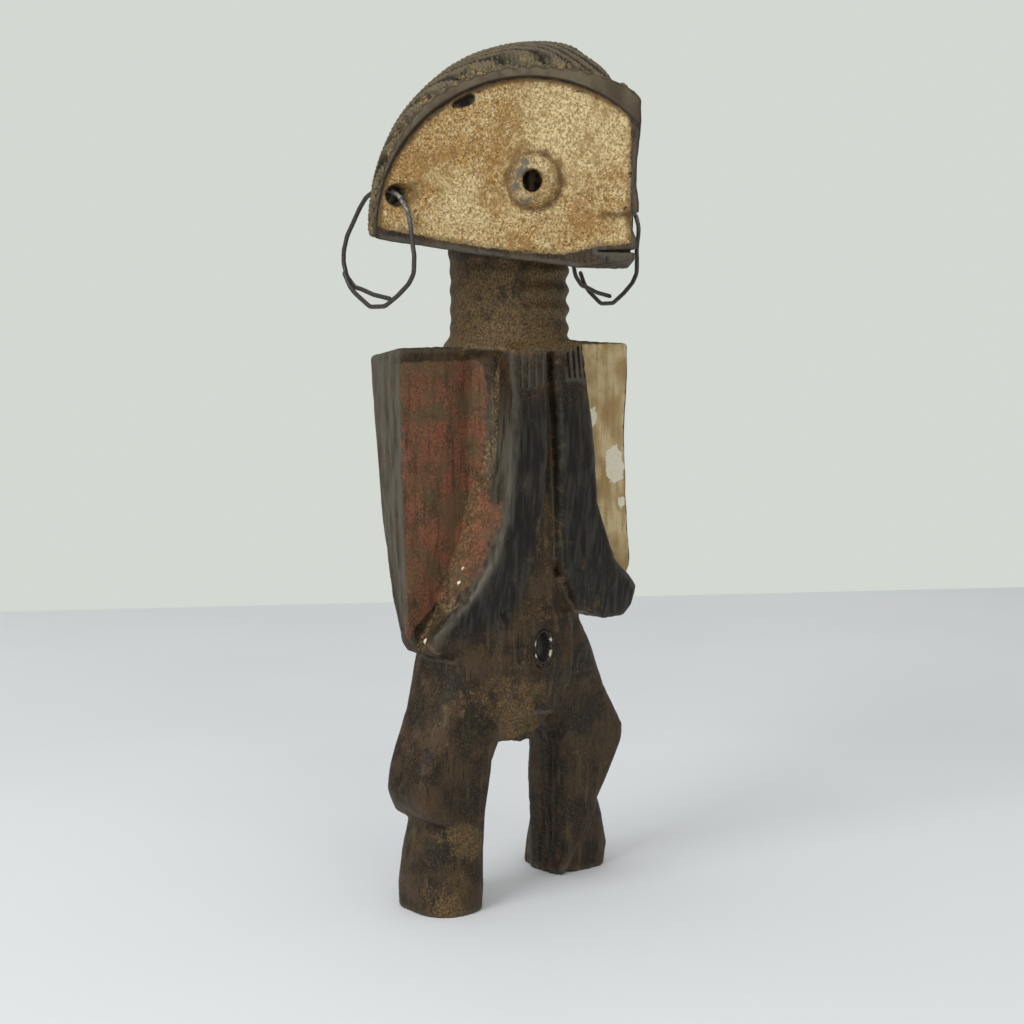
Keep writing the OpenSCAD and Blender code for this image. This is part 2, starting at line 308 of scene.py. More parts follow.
LEFT_ARM = dict(
    plate=[(0, 258), (69, 258), (66, 214), (65.5, 176), (66.5, 146), (65, 137), (62, 131), (56.5, 126),
           (44, 124), (24.5, 130), (12, 150), (0, 165)],
    front=[(2.0, 258), (19.5, 258), (26, 212), (31, 180), (43, 153), (53, 144.5), (59, 138), (57.5, 129)]
    + LEFT_ELBOW,
    crease=[(2.0, 258), (17, 258), (24, 212), (31, 178), (45, 149), (55, 141), (61.5, 135), (58, 128)]
    + LEFT_ELBOW,
    side=((250, 68.2), (214, 65.5), (176, 65), (146, 66), (135, 64), (120, 60)),
    back_side=((250, 66), (215, 64), (176, 60), (142, 57), (125, 54)),
    face_y=((250, -8), (205, -8.5), (150, -12.5), (135, -14)),
    back_y=((250, 11), (142, 4), (113, 3)),
    top=(253.8, -0.05),
)


def forearm_front(z):
    return along(z, (252, -30), (205, -31), (155, -27), (125, -22), (113, -18))


def crease_side(arm, z):
    """Distance out of the crease where the forearm meets the plate."""
    points = arm["crease"][1:6]
    return along(z, *[(v, u) for u, v in points])


def arris_side(arm, z):
    """Distance out of the arris between the forearm's front and its outer flank."""
    return along(z, *[(v, u) for u, v in arm["front"][1:7]])


def arm_distance(out, y, z, arm):
    plate = polygon_distance(out, z, arm["plate"]) - 0.5
    back_y = along(z, *arm["back_y"])
    face_y = along(z, *arm["face_y"])
    depth = np.clip((y - face_y) / (back_y - face_y), 0.0, 1.0)
    front_side = along(z, *arm["side"])
    back_side = along(z, *arm["back_side"])
    side = out - front_side + (front_side - back_side) * depth
    plate = smooth_max(plate, side, 1.5)
    dish = 2.6 * ramp(crease_side(arm, z) + 22.0 - out, 0.0, 20.0)
    plate = smooth_max(plate, face_y + dish - y, 2.2)
    plate = smooth_max(plate, y - back_y, 3.0)
    front_y = forearm_front(z)
    lean = np.clip((y - front_y) / (face_y - front_y), 0.0, 1.0)
    outline = polygon_distance(out, z, arm["front"])
    outline += (polygon_distance(out, z, arm["crease"]) - outline) * lean
    forearm = smooth_max(outline, front_y - y, 3.0)
    forearm = smooth_max(forearm, y - 0.0, 2.0)
    both = smooth_min(plate, forearm, 1.6)
    top_z, fall = arm["top"]
    top = z - (top_z + fall * out - 0.2 * np.maximum(y - face_y, 0.0))
    return smooth_max(both, top, 2.2)


LEFT_FINGER_CUTS = (10.2, 13.4, 16.4, 19.2)
RIGHT_FINGER_CUTS = (-5.0, -9.2, -13.4, -17.0)


def finger_cuts(x, y, z):
    """Fine grooves at the tops of the hands that part the fingers."""
    cuts = np.full(x.shape, 50.0, np.float32)
    for at in LEFT_FINGER_CUTS:
        slope = at + (248.5 - z) * 0.12
        cut = np.maximum(np.abs(x - slope) - 0.75, np.abs(z - 243.5) - 7.0)
        cuts = np.minimum(cuts, cut)
    for at in RIGHT_FINGER_CUTS:
        cut = np.maximum(np.abs(x - at) - 0.5, np.abs(z - 243.0) - 9.5)
        cuts = np.minimum(cuts, cut)
    floor = forearm_front(z) + np.where(x > 0, 2.0, 1.1)
    return np.maximum(cuts, y - floor)


def arms_distance(x, y, z):
    right = arm_distance(-x, y, z, RIGHT_ARM)
    left = arm_distance(x, y, z, LEFT_ARM)
    body = np.where(x < 0, right, left)
    return smooth_max(body, -finger_cuts(x, y, z), 0.5)


# ---- Trunk and legs

NAVEL_Z = 115.0
BELLY_Y = -25.5
TRUNK_LOW = 84.0
TRUNK_HIGH = 252.0


def trunk_distance(x, y, z):
    """An oval trunk with a flat belly that turns away past an arris on its left."""
    half_w = along(z, (255, 26), (200, 26.5), (165, 27), (140, 29.5), (118, 34.5), (100, 36))
    half_d = along(z, (255, 24), (200, 24.5), (160, 25), (118, 25.5), (100, 24))
    body = oval_distance((x, half_w), (y, half_d))
    facet = smooth_max(BELLY_Y - y, (x - 7.5) * 0.85 - (y - BELLY_Y) * 0.52, 1.0)
    body = smooth_max(body, facet, 2.0)
    return np.maximum(body, np.maximum(z - TRUNK_HIGH, TRUNK_LOW - z))


LOBE_OUTLINE = [
    (-26, 74), (-12, 73), (-6, 71.6), (-3, 72.6), (-1, 72), (2, 75.5), (6, 78), (9, 82.5), (13, 85),
    (20, 97), (20, 130), (-26, 130),
]


def lobe_distance(x, y, z):
    """The apron of wood left between the thighs, broken away at its lower left."""
    outline = polygon_distance(x, z, LOBE_OUTLINE)
    front = -20.5 - 5.0 * ramp(z, 78.0, 112.0)
    lobe = smooth_max(outline, front - y, 5.0)
    return smooth_max(lobe, y - 16.0, 8.0)


# Each leg's sizes at some heights. The thigh has its outer and inner sides, half its
# depth and the rounding of its edges; the calf has its inner and outer sides, its
# front and back, and the rounding of its edges.
RIGHT_LEG = dict(
    outer=((150, 26), (135, 31.5), (112, 45), (90, 53), (66, 64), (56, 66.5), (40, 66)),
    inner=((150, -10), (112, 2), (90, 12), (66, 22.5), (45, 25), (0, 26.5)),
    half_depth=((150, 22), (112, 21), (90, 17.5), (66, 15.5), (58, 15), (0, 14)),
    edge=((140, 18), (112, 14), (90, 10), (60, 8), (30, 12)),
    calf_sides=((50, 25, 55), (40, 25.2, 54.6), (25, 25.6, 58.2), (10, 26.3, 59.6), (0, 27, 59)),
    calf_depth=((50, -19.5, 9), (40, -19.5, 10), (25, -21.5, 12), (10, -24, 14), (0, -25, 15)),
    calf_edge=((50, 9), (25, 12), (0, 15)),
)
LEFT_LEG = dict(
    outer=((150, 24), (135, 28), (112, 42), (90, 54.5), (68, 69), (60, 69.5), (40, 66)),
    inner=((150, -10), (112, 3), (90, 15), (62, 26.2), (48, 26), (0, 27)),
    half_depth=((150, 22), (112, 20.5), (90, 16), (66, 13.5), (58, 13), (0, 13)),
    edge=((140, 18), (112, 14), (90, 9), (60, 6.5)),
    calf_sides=((50, 26.2, 55), (40, 26, 54.2), (25, 27.6, 60), (10, 29.2, 63.8), (0, 30, 62.5)),
    calf_depth=((50, -7, 19), (40, -7, 19), (25, -6, 24), (10, -5, 29), (0, -5, 31)),
    calf_edge=((0, 12),),
)
THIGH_HIGH = 145.0
CALF_HIGH = 66.0


def middle_and_half(low, high):
    return (low + high) / 2, (high - low) / 2


def leg_distance(out, y, z, side):
    """One leg. side is -1 for the figure's right leg, which stands forward, and 1 for its left."""
    leg = RIGHT_LEG if side < 0 else LEFT_LEG
    forward = along(z, (140, 0.0), (112, 2.0), (90, 5.0), (60, 6.5)) * side
    outer, inner, half_depth, edge = [along(z, *leg[k]) for k in ("outer", "inner", "half_depth", "edge")]
    middle, half = middle_and_half(inner, outer)
    thigh = rounded_box(out - middle, y - forward, half, half_depth, edge)
    thigh = np.maximum(thigh, z - THIGH_HIGH)
    # The knee overhangs the calf: a slope under the right one, a steep cut under the left
    if side < 0:
        under = 42.0 + 0.56 * (out - 56.0) + 0.8 * np.maximum(out - 60.0, 0.0) - z
        thigh = smooth_max(thigh, under * 0.8, 4.0)
    else:
        under = (64.5 - z) * 0.506 - (69.0 - out) * 0.862
        thigh = smooth_max(thigh, under, 1.8)
    low, high = [along(z, *[(a, b[i]) for a, *b in leg["calf_sides"]]) for i in (0, 1)]
    front, back = [along(z, *[(a, b[i]) for a, *b in leg["calf_depth"]]) for i in (0, 1)]
    middle, half = middle_and_half(low, high)
    middle_y, half_y = middle_and_half(front, back)
    calf = rounded_box(out - middle, y - middle_y, half, half_y, along(z, *leg["calf_edge"]))
    calf = np.maximum(calf, z - CALF_HIGH)
    return smooth_max(smooth_min(thigh, calf, 1.5), -z, 1.2)


def legs_distance(x, y, z):
    right = leg_distance(-x, y, z, -1)
    left = leg_distance(x, y, z, 1)
    # The left foot is chipped along its inner front edge.
    chips = 3.4 * ramp(lumps(x, y, z, 7.0, 9), 0.0, 0.6) * ramp(44.0 - x, 0.0, 14.0) * ramp(-y, -6.0, 4.0)
    left = smooth_max(left, chips - z - 0.2, 0.6)
    return smooth_min(right, left, 1.0)


def buttocks_distance(x, y, z):
    """Two low swellings behind the hips, parted by a shallow cleft."""
    r = np.sqrt(((np.abs(x) - 17.0) / 19.0) ** 2 + ((y - 13.0) / 15.0) ** 2 + ((z - 103.0) / 20.0) ** 2)
    return (r - 1.0) * 14.0


def spine_groove(x, y, z):
    return np.maximum(np.sqrt(x * x + (y - 27.5) ** 2) - 4.6, np.maximum(z - 246.0, 128.0 - z))


def navel_socket(x, y, z):
    r = np.sqrt((x / 6.8) ** 2 + ((y - BELLY_Y) / 8.0) ** 2 + ((z - NAVEL_Z) / 9.0) ** 2)
    return (r - 1.0) * 7.0


PARTS = (
    (280.0, 400.0, head_distance),
    (244.0, 308.0, neck_distance),
    (108.0, 256.0, arms_distance),
    (80.0, 256.0, trunk_distance),
    (60.0, 135.0, lobe_distance),
    (75.0, 130.0, buttocks_distance),
    (-10.0, 150.0, legs_distance),
)
# How softly each part in PARTS runs into the ones before it
BLENDS = (1.0, 2.0, 2.0, 2.0, 4.0, 9.0, 4.5)
# Below this height the crotch is cut sharp.
CROTCH_Z = 84.0
FAR = 30.0


def carving_distance(x, y, z):
    """The whole figure. The surface wanders a little, as a hand-cut one does."""
    x = x + 0.45 * lumps(x, y, z, 26.0, 1)
    y = y + 0.45 * lumps(x, y, z, 24.0, 2)
    z = z + 0.35 * lumps(x, y, z, 30.0, 3)
    body = np.full(x.shape, FAR, np.float32)
    for (low, high, part), blend in zip(PARTS, BLENDS):
        near = (z > low - 8.0) & (z < high + 8.0)
        if near.any():
            added = part(x[near], y[near], z[near]).astype(np.float32)
            soft = 0.8 + (blend - 0.8) * ramp(z[near], CROTCH_Z, CROTCH_Z + 24.0)
            body[near] = smooth_min(body[near], added, soft)
    near = np.abs(z - NAVEL_Z) < 25.0
    if near.any():
        socket = navel_socket(x[near], y[near], z[near])
        body[near] = smooth_max(body[near], -socket, 1.0)
    near = (y > 15.0) & (z > 120.0) & (z < 252.0)
    if near.any():
        body[near] = smooth_max(body[near], -spine_groove(x[near], y[near], z[near]), 4.0)
    return np.minimum(body, FAR)


# ---- From the distance field to a mesh

BOX_LOW = (-84.0, -94.0, -4.0)
BOX_HIGH = (84.0, 44.0, 388.0)
COARSE = 4.0
BAND = 2.4


def in_pieces(function, x, y, z, size=400_000):
    return np.concatenate([
        function(x[i:i + size], y[i:i + size], z[i:i + size]) for i in range(0, len(x), size)
    ])


def sample_field(step):
    """The field on a grid, worked out exactly near the surface and roughly elsewhere."""
    per = int(round(COARSE / step))
    counts = [int(math.ceil((h - l) / COARSE)) for l, h in zip(BOX_LOW, BOX_HIGH)]
    lines = [l + COARSE * np.arange(n + 1, dtype=np.float32) for l, n in zip(BOX_LOW, counts)]
    gx, gy, gz = [g.ravel() for g in np.meshgrid(*lines, indexing="ij")]
    rough = in_pieces(carving_distance, gx, gy, gz).reshape([n + 1 for n in counts])
    for axis in range(3):
        rough = np.moveaxis(rough, axis, 0)
        part = (np.arange(per, dtype=np.float32) / per).reshape((1, per) + (1,) * (rough.ndim - 1))
        filled = rough[:-1, None] * (1 - part) + rough[1:, None] * part
        rough = np.moveaxis(filled.reshape((-1,) + rough.shape[1:]), 0, axis)
    fine = rough.astype(np.float32)
    near = np.nonzero(np.abs(fine) < BAND)
    points = [l + step * i.astype(np.float32) for l, i in zip(BOX_LOW, near)]
    fine[near] = in_pieces(carving_distance, *points)
    return np.ascontiguousarray(np.clip(fine, -BAND, BAND), np.float32)


def polygonise(step):
    field = sample_field(step)
    grid = openvdb.FloatGrid(background=BAND)
    grid.copyFromArray(field, tolerance=0.0)
    points, quads = grid.convertToQuads(isovalue=0.0)
    return points.astype(np.float32) * step + np.array(BOX_LOW, np.float32), quads


def slopes(points, h=0.35):
    """The field's value at each point, and its unit gradient, which points out of the wood."""
    x, y, z = points.T
    here = in_pieces(carving_distance, x, y, z)
    ahead = [in_pieces(carving_distance, *(points + h * step).T) for step in np.eye(3, dtype=np.float32)]
    gradient = np.stack([a - here for a in ahead], 1) / h
    length = np.linalg.norm(gradient, axis=1, keepdims=True) + 1e-6
    return here, gradient / length, length[:, 0]


def mesh_from(points, faces, name):
    mesh = bpy.data.meshes.new(name)
    mesh.vertices.add(len(points))
    mesh.vertices.foreach_set("co", np.ascontiguousarray(points, np.float32).ravel())
    n = faces.shape[1]
    mesh.loops.add(faces.size)
    mesh.loops.foreach_set("vertex_index", faces.astype(np.int32).ravel())
    mesh.polygons.add(len(faces))
    mesh.polygons.foreach_set("loop_start", np.arange(0, faces.size, n, dtype=np.int32))
    mesh.update(calc_edges=True)
    mesh.validate()
    return mesh


def link(mesh, name):
    piece = bpy.data.objects.new(name, mesh)
    bpy.context.scene.collection.objects.link(piece)
    return piece


def add_mark(mesh, name, values):
    mark = mesh.attributes.new(name, "FLOAT", "POINT")
    mark.data.foreach_set("value", np.ascontiguousarray(values, np.float32))


def to_metres(points):
    return (points + np.array([0.0, NECK_AXIS_Y, 0.0], np.float32)) * MM


# ---- Relief: what the knife, wear and dirt have left on the surface

PLAIT = 5.6
STRAND = 1.9
CHIP_S = 75.2
CHIP_Z = 355.0


def hair_relief(x, y, z):
    """Plaits that run beside the headband, each cut across by slanting strands."""
    s, q = panel_frame(x, y)
    inside = ramp(hair_depth(x, s, q, z), 0.4, 2.4) * ramp(z, 297.0, 301.0)
    arc = np.arctan2(z - PANEL_Z, s - PANEL_S) * PANEL_R
    phase = (q + 0.35 * arc + 1.1 * lumps(x, y, z, 13.0, 4)) / PLAIT
    plait = np.abs(np.sin(math.pi * phase)) ** 0.8
    across = phase - np.floor(phase)
    strand = np.abs(np.sin(math.pi * (arc + 3.2 * across) / STRAND))
    worn = 0.7 + 0.3 * ramp(lumps(x, y, z, 11.0, 5), -0.5, 0.4)
    return inside * worn * (1.9 * (plait - 0.7) + 0.9 * (strand - 0.6) * plait)


def panel_mask(x, y, z):
    """1 on the two painted face panels, 0 elsewhere."""
    s, q = panel_frame(x, y)
    return ramp(PANEL_R - panel_rho(x, s, z), 0.0, 2.0) * ramp(-q, -7.0, -5.0) * ramp(z, 284.0, 288.0)


def hair_mask(x, y, z):
    s, q = panel_frame(x, y)
    return ramp(hair_depth(x, s, q, z), 0.0, 1.0) * ramp(z, 297.0, 301.0)


def crack(x, y, z, size, seed, width):
    """Jagged lines up the grain: 1 at the bottom of a crack and 0 beside it."""
    return fall(np.abs(lumps(x, y, z * 0.16, size, seed)), 0.0, width)


def crease_crust(x, y, z):
    """Earth caked in the crease between each forearm and its shoulder plate."""
    crust = np.zeros(x.shape, np.float32)
    for arm, out, amount in ((RIGHT_ARM, -x, 1.0), (LEFT_ARM, x, 0.5)):
        beside = np.abs(out - crease_side(arm, z) - 0.5)
        near = fall(beside, 1.5, 5.0) * ramp(z, 121.0, 130.0) * fall(z, 242.0, 250.0)
        near = near * fall(np.abs(y + 9.0), 3.0, 7.0)
        crust += amount * near * np.maximum(lumps(x, y, z, 1.9, 10), -0.3)
    return crust


def panel_chip(x, y, z):
    """The hole broken in the edge of the right face panel under the headband."""
    s, q = panel_frame(x, y)
    u = (s - CHIP_S) * 0.90 - (z - CHIP_Z) * 0.44
    v = (s - CHIP_S) * 0.44 + (z - CHIP_Z) * 0.90
    inside = 1.0 - np.sqrt((u / 5.6) ** 2 + (v / 2.6) ** 2) + 0.4 * lumps(x, y, z, 2.4, 12)
    return ramp(inside, 0.0, 0.4) * (x < 0.0) * (q < 8.0)


def relief(x, y, z):
    """Height to add to the carved surface, in millimetres."""
    hair = hair_mask(x, y, z)
    panel = panel_mask(x, y, z)
    bare = (1.0 - hair) * (1.0 - panel)
    knife = 0.34 * np.abs(lumps(x, y, z * 0.28, 4.4, 6)) - 0.12 + 0.1 * lumps(x, y, z * 0.5, 2.0, 7)
    height = hair_relief(x, y, z) + bare * knife + panel * 0.14 * lumps(x, y, z, 2.4, 8)
    height += crease_crust(x, y, z) - 2.4 * panel_chip(x, y, z)
    lobe = fall(z, 78.0, 84.0) * fall(np.abs(x), 15.0, 20.0) * ramp(z, 66.0, 70.0)
    height -= 1.1 * lobe * np.abs(lumps(x, y, z, 3.4, 13))
    inner_shin = ramp(33.0 - x, 0.0, 3.0) * (x > 15.0) * fall(z, 66.0, 76.0)
    height -= inner_shin * (0.9 * crack(x, y, z, 4.6, 11, 0.16) + 0.3 * np.abs(lumps(x, y, z, 3.0, 14)))
    seam = np.abs(y + 3.0 - 3.0 * lumps(x, y, z * 0.5, 12.0, 15))
    seam = fall(seam, 0.2, 0.9) * (x < -44.0) * ramp(z, 50.0, 58.0) * fall(z, 92.0, 100.0)
    return height - 0.8 * seam


# ---- Marks: for every point of the surface, how far it is inside each stretch of
# paint, hair or dirt, or of painted light and shade, in millimetres. The material reads them by name.

# Where earth and dust have settled: x, y, z, radius, amount
DUST_SPOTS = (
    (-13, -22, 96, 15, 0.9), (-12, -24, 79, 11, 0.9), (-2, -25, 134, 18, 0.45), (4, -24, 170, 16, 0.35),
    (-41, -16, 56, 6, 0.8), (-45, -19, 34, 9, 1.2), (-34, -20, 29, 8, 1.1), (-52, -25, 4, 11, 1.2),
    (-63, -20, 10, 8, 0.6), (-40, -17, 95, 16, 0.4), (30, -16, 134, 9, 0.8), (24, -12, 40, 9, 0.5),
    (26, -14, 9, 9, 0.7), (38, -6, 62, 14, 0.3), (-22, -29, 236, 7, 0.6), (-8, -30, 238, 9, 0.3),
    (0, 22, 262, 22, 0.5), (0, 26, 236, 14, 0.35), (0, 26, 120, 16, 0.5), (-36, 16, 40, 12, 0.5),
    (40, 22, 46, 12, 0.5), (0, 20, 92, 14, 0.7), (0, -29, 200, 8, 0.3),
)
# White grains stuck to the surface: x, y, z, radius
WHITE_GRAINS = (
    (-61, -7, 124.5, 1.3), (-58.5, -7.5, 121.5, 1.0), (-53.5, -9, 122, 1.5), (-50, -9.5, 126, 0.9),
    (-23, -20, 178, 1.5), (-22.5, -24, 175, 1.0), (-38, -13, 147, 1.1), (-35, -12, 153, 0.9),
    (18.5, -20, 98, 1.2), (15.5, -20.5, 96.5, 1.6), (4, -30, 188, 0.9), (-20, -24, 128, 0.7),
)
# Where the left arm's cream paint is thickest: x, z, radius, amount
CREAM_WHITES = ((57, 197, 5, 1.0), (58, 190, 5, 1.0), (43, 216, 5, 0.9), (61, 176, 3, 0.7))
# Whiter and browner stretches of the face paint: s, z, radius, tone
FACE_TONES = (
    (40, 350, 15, -0.5), (20, 342, 14, -0.55), (32, 334, 12, -0.3), (77, 313, 8, -0.45), (60, 352, 9, 0.3),
    (64, 329, 12, 0.45), (84, 338, 11, 0.35), (104, 327, 12, 0.55), (24, 306, 10, 0.35), (50, 300, 11, 0.3),
    (12, 322, 9, 0.15), (92, 312, 10, 0.15), (110, 312, 9, 0.2),
)


def spots(places, at):
    """Sum of soft round spots; each place is a centre, a radius and an amount."""
    total = np.zeros(at[0].shape, np.float32)
    n = len(at)
    for place in places:
        far = sum((v - c) ** 2 for v, c in zip(at, place)) / place[n] ** 2
        total += place[n + 1] * np.exp(-far)
    return total


def head_marks(x, y, z):
    s, q = panel_frame(x, y)
    rho = panel_rho(x, s, z)
    off = np.where(z > 282.0, 0.0, 50.0)
    hair = np.minimum(hair_depth(x, s, q, z), z - 299.0) - off
    band = np.minimum(np.minimum(rho - PANEL_R, -hair_depth(x, s, q, z)), 15.0 - q) - off
    low = along(s, (0, 295.2), (20, 293.6), (34, 290.4), (66, 293.2), (100, 299.5), (110, 301.5), (118, 304))
    ear = np.sqrt((np.abs(x) - EAR_X) ** 2 + (z - EAR_Z) ** 2) - EAR_HOLE_R
    edges = (PANEL_R - 0.6 - rho, z - low, s - 4.6, 7.0 - q, ear + 0.6)
    face = np.minimum.reduce(edges) - off
    ring = np.hypot(s - EYE_S, z - EYE_Z)
    eye = np.where(q < ridge_depth(s, z) - 0.8, 3.4 - np.abs(ring - 7.0), -9.0)
    eye = eye - off - 3.0 * fall(s - EYE_S, -3.0, 4.0)
    tone = 0.38 + spots(FACE_TONES, (s, z))
    shade = 0.9 * np.exp(-((ring - 12.2) / 1.7) ** 2)
    shade += 0.8 * np.exp(-((z - 307.0) / 2.4) ** 2) * fall(s, 14.0, 26.0)
    shade += 0.7 * np.exp(-((z - MOUTH_Z) / 2.4) ** 2) * fall(s, 10.0, 22.0)
    shade += 0.7 * fall(s, 3.0, 7.5) + 0.6 * ramp(s, 100.0, 116.0) * (z < 308.0)
    shade += 0.7 * fall(PANEL_R - rho, 0.5, 4.0)
    return dict(hair=hair, band=band, face=face, eye=eye, tone=tone, shade=shade, plait=hair_relief(x, y, z))


def arm_marks(x, y, z):
    away = np.where((z > 112.0) & (z < 258.0), 0.0, 50.0)
    right = polygon_distance(-x, z, RIGHT_ARM["front"])
    left = polygon_distance(x, z, LEFT_ARM["front"])
    arris = arris_side(RIGHT_ARM, z)
    edges = (-x - arris - 1.2, along(z, *RIGHT_ARM["side"]) + x - 1.4, 244.5 - z, z - 117.5, -3.0 - y)
    red = np.minimum.reduce(edges) - away
    red -= np.clip(crease_side(RIGHT_ARM, z) + x, 0.0, 2.0) * ramp(z, 185.0, 205.0)
    arris = arris_side(LEFT_ARM, z)
    edges = (x - arris - 0.6, along(z, *LEFT_ARM["side"]) - x - 1.6, 250.0 - z, z - 134.0, -4.0 - y)
    cream = np.minimum.reduce(edges) - away
    front = 0.6 - np.where(x < 0.0, right, left)
    soot = np.minimum.reduce((front - away, -15.0 - y - away, (228.0 - z) * 0.3, (z - 126.0) * 0.4))
    beside = np.abs(np.abs(x) - np.where(x < 0.0, crease_side(RIGHT_ARM, z), crease_side(LEFT_ARM, z)))
    crease = np.minimum.reduce((0.9 - beside, -3.0 - y, 19.0 + y)) - away
    white = spots(CREAM_WHITES, (x, z)) * (x > 0.0) - 0.4
    # Rubbed wood with a painted sheen, by the elbows' outer sides and along the right forearm's arris.
    grey_and_sheen = ramp(np.abs(x) - along(z, *RIGHT_ARM["side"]), -2.5, -0.5) * ramp(z, 112.0, 130.0) * (z < 262.0)
    worn = np.exp(-((-x - arris_side(RIGHT_ARM, z) + 0.5) / 2.2) ** 2) * (y < -12.0)
    grey_and_sheen = np.maximum(grey_and_sheen, worn * ramp(z, 118.0, 130.0) * fall(z, 205.0, 240.0))
    return dict(red=red, cream=cream, soot=soot, crease=crease, white=white, grey_and_sheen=grey_and_sheen)


def surface_marks(points, normal):
    x, y, z = points.T
    marks = head_marks(x, y, z)
    marks.update(arm_marks(x, y, z))
    around = np.hypot(x, y + 2.0)
    neck = ramp(z, 244.0, 252.0) * fall(z, 286.0, 292.0) * fall(around, 32.0, 40.0)
    base = np.exp(-((z - 252.5) / 3.5) ** 2) * fall(around, 34.0, 44.0)
    marks["dust"] = spots(DUST_SPOTS, (x, y, z)) + 0.95 * neck + 0.6 * base
    grains = [r - np.sqrt((x - a) ** 2 + (y - b) ** 2 + (z - c) ** 2) for a, b, c, r in WHITE_GRAINS]
    marks["grains"] = np.maximum.reduce(grains)
    marks["chip"] = panel_chip(x, y, z)
    # cavity: how deep a point lies in a hollow. Earth settles by it, and it darkens the colour as dirt with
    # painted shade.
    reach = 3.0
    outside = points + normal * reach
    inside = points - normal * reach
    marks["cavity"] = reach - in_pieces(carving_distance, *outside.T)
    # edge: how far a point stands out on a convex edge, held down round the navel. It lightens the colour as
    # wear and a painted highlight.
    navel = np.exp(-((x / 11.0) ** 2 + ((z - NAVEL_Z) / 14.0) ** 2)) * (y < 0.0)
    marks["edge"] = reach + in_pieces(carving_distance, *inside.T) - 4.0 * navel
    return marks


# ---- The carved figure

MAX_TRIANGLES = 192_000


def thinned(mesh):
    """The same surface with fewer triangles, kept where the relief needs them."""
    piece = link(mesh, "raw_carving")
    thin = piece.modifiers.new("thin", "DECIMATE")
    thin.ratio = min(1.0, MAX_TRIANGLES / (2.0 * len(mesh.polygons)))
    graph = bpy.context.evaluated_depsgraph_get()
    result = bpy.data.meshes.new_from_object(piece.evaluated_get(graph))
    bpy.data.objects.remove(piece)
    return result


def carve_figure():
    points, quads = polygonise(0.8)
    here, normal, length = slopes(points)
    points = points - normal * np.clip(here / np.maximum(length, 0.5), -0.5, 0.5)[:, None]
    points = points + normal * relief(*points.T)[:, None]
    sole = (points[:, 2] < 0.5) & (normal[:, 2] < -0.7)
    points[:, 2] = np.where(sole, 0.0, np.maximum(points[:, 2], 0.0))
    mesh = mesh_from(to_metres(points), quads, "carved_wood")
    mesh = thinned(mesh)
    mesh.shade_smooth()
    count = len(mesh.vertices)
    places = np.empty(count * 3, np.float32)
    normals = np.empty(count * 3, np.float32)
    mesh.vertices.foreach_get("co", places)
    mesh.vertex_normals.foreach_get("vector", normals)
    places = places.reshape(-1, 3) / MM - np.array([0.0, NECK_AXIS_Y, 0.0], np.float32)
    for name, values in surface_marks(places, normals.reshape(-1, 3)).items():
        add_mark(mesh, name, values)
    return link(mesh, "carved_wood")


# ---- Ear hoops: bent by hand, so each runs in short straight lengths between kinks

HOOP_Y = 4.5
HOOP_Z = 293.7
HOOP_R = 24.8
WIRE_R = 1.03
WIRE_SIDES = 14
WIRE_LIFT = 2.75
# Angle round the hoop from straight behind, and distance from its middle. The
# stretch through the ear, from 60 to 120 degrees, keeps to the hinge's circle.
HOOP_KINKS = (
    (-99, 22.3), (-68, 22.0), (-46, 25.0), (-38, 28.0), (-24, 30.6), (-12, 30.8), (-3, 30.0), (11, 27.6),
    (28, 24.6), (45, 24.2), (60, HOOP_R), (75, HOOP_R), (90, HOOP_R), (105, HOOP_R), (120, HOOP_R),
    (140, 24.0), (154, 22.7), (180, 22.3), (189, 23.6), (206, 25.6), (219, 24.9), (240, 23.8), (264, 25.4),
    (287, 26.8), (314, 27.4), (323, 28.2), (338, 28.8),
)


def hoop_line():
    """Points along the wire's middle: (side, y, z) from the hoop's centre, and their angles."""
    corners = [(a, r * math.cos(math.radians(a)), r * math.sin(math.radians(a))) for a, r in HOOP_KINKS]
    line = []
    for (a0, y0, z0), (a1, y1, z1) in zip(corners, corners[1:]):
        steps = max(2, int(math.hypot(y1 - y0, z1 - z0) / 0.6))
        line += [(a0 + (a1 - a0) * i / steps, y0 + (y1 - y0) * i / steps, z0 + (z1 - z0) * i / steps)
                 for i in range(steps)]
    line = np.array(line + [corners[-1]])
    for _ in range(5):
        line[1:-1, 1:] = (line[:-2, 1:] + 2.0 * line[1:-1, 1:] + line[2:, 1:]) / 4.0
    turn = line[:, 0]
    span = turn[-1] - turn[0]
    side = WIRE_LIFT * ((turn - turn[0]) / span - 0.5)
    return np.stack([side, line[:, 1], line[:, 2]], 1), turn


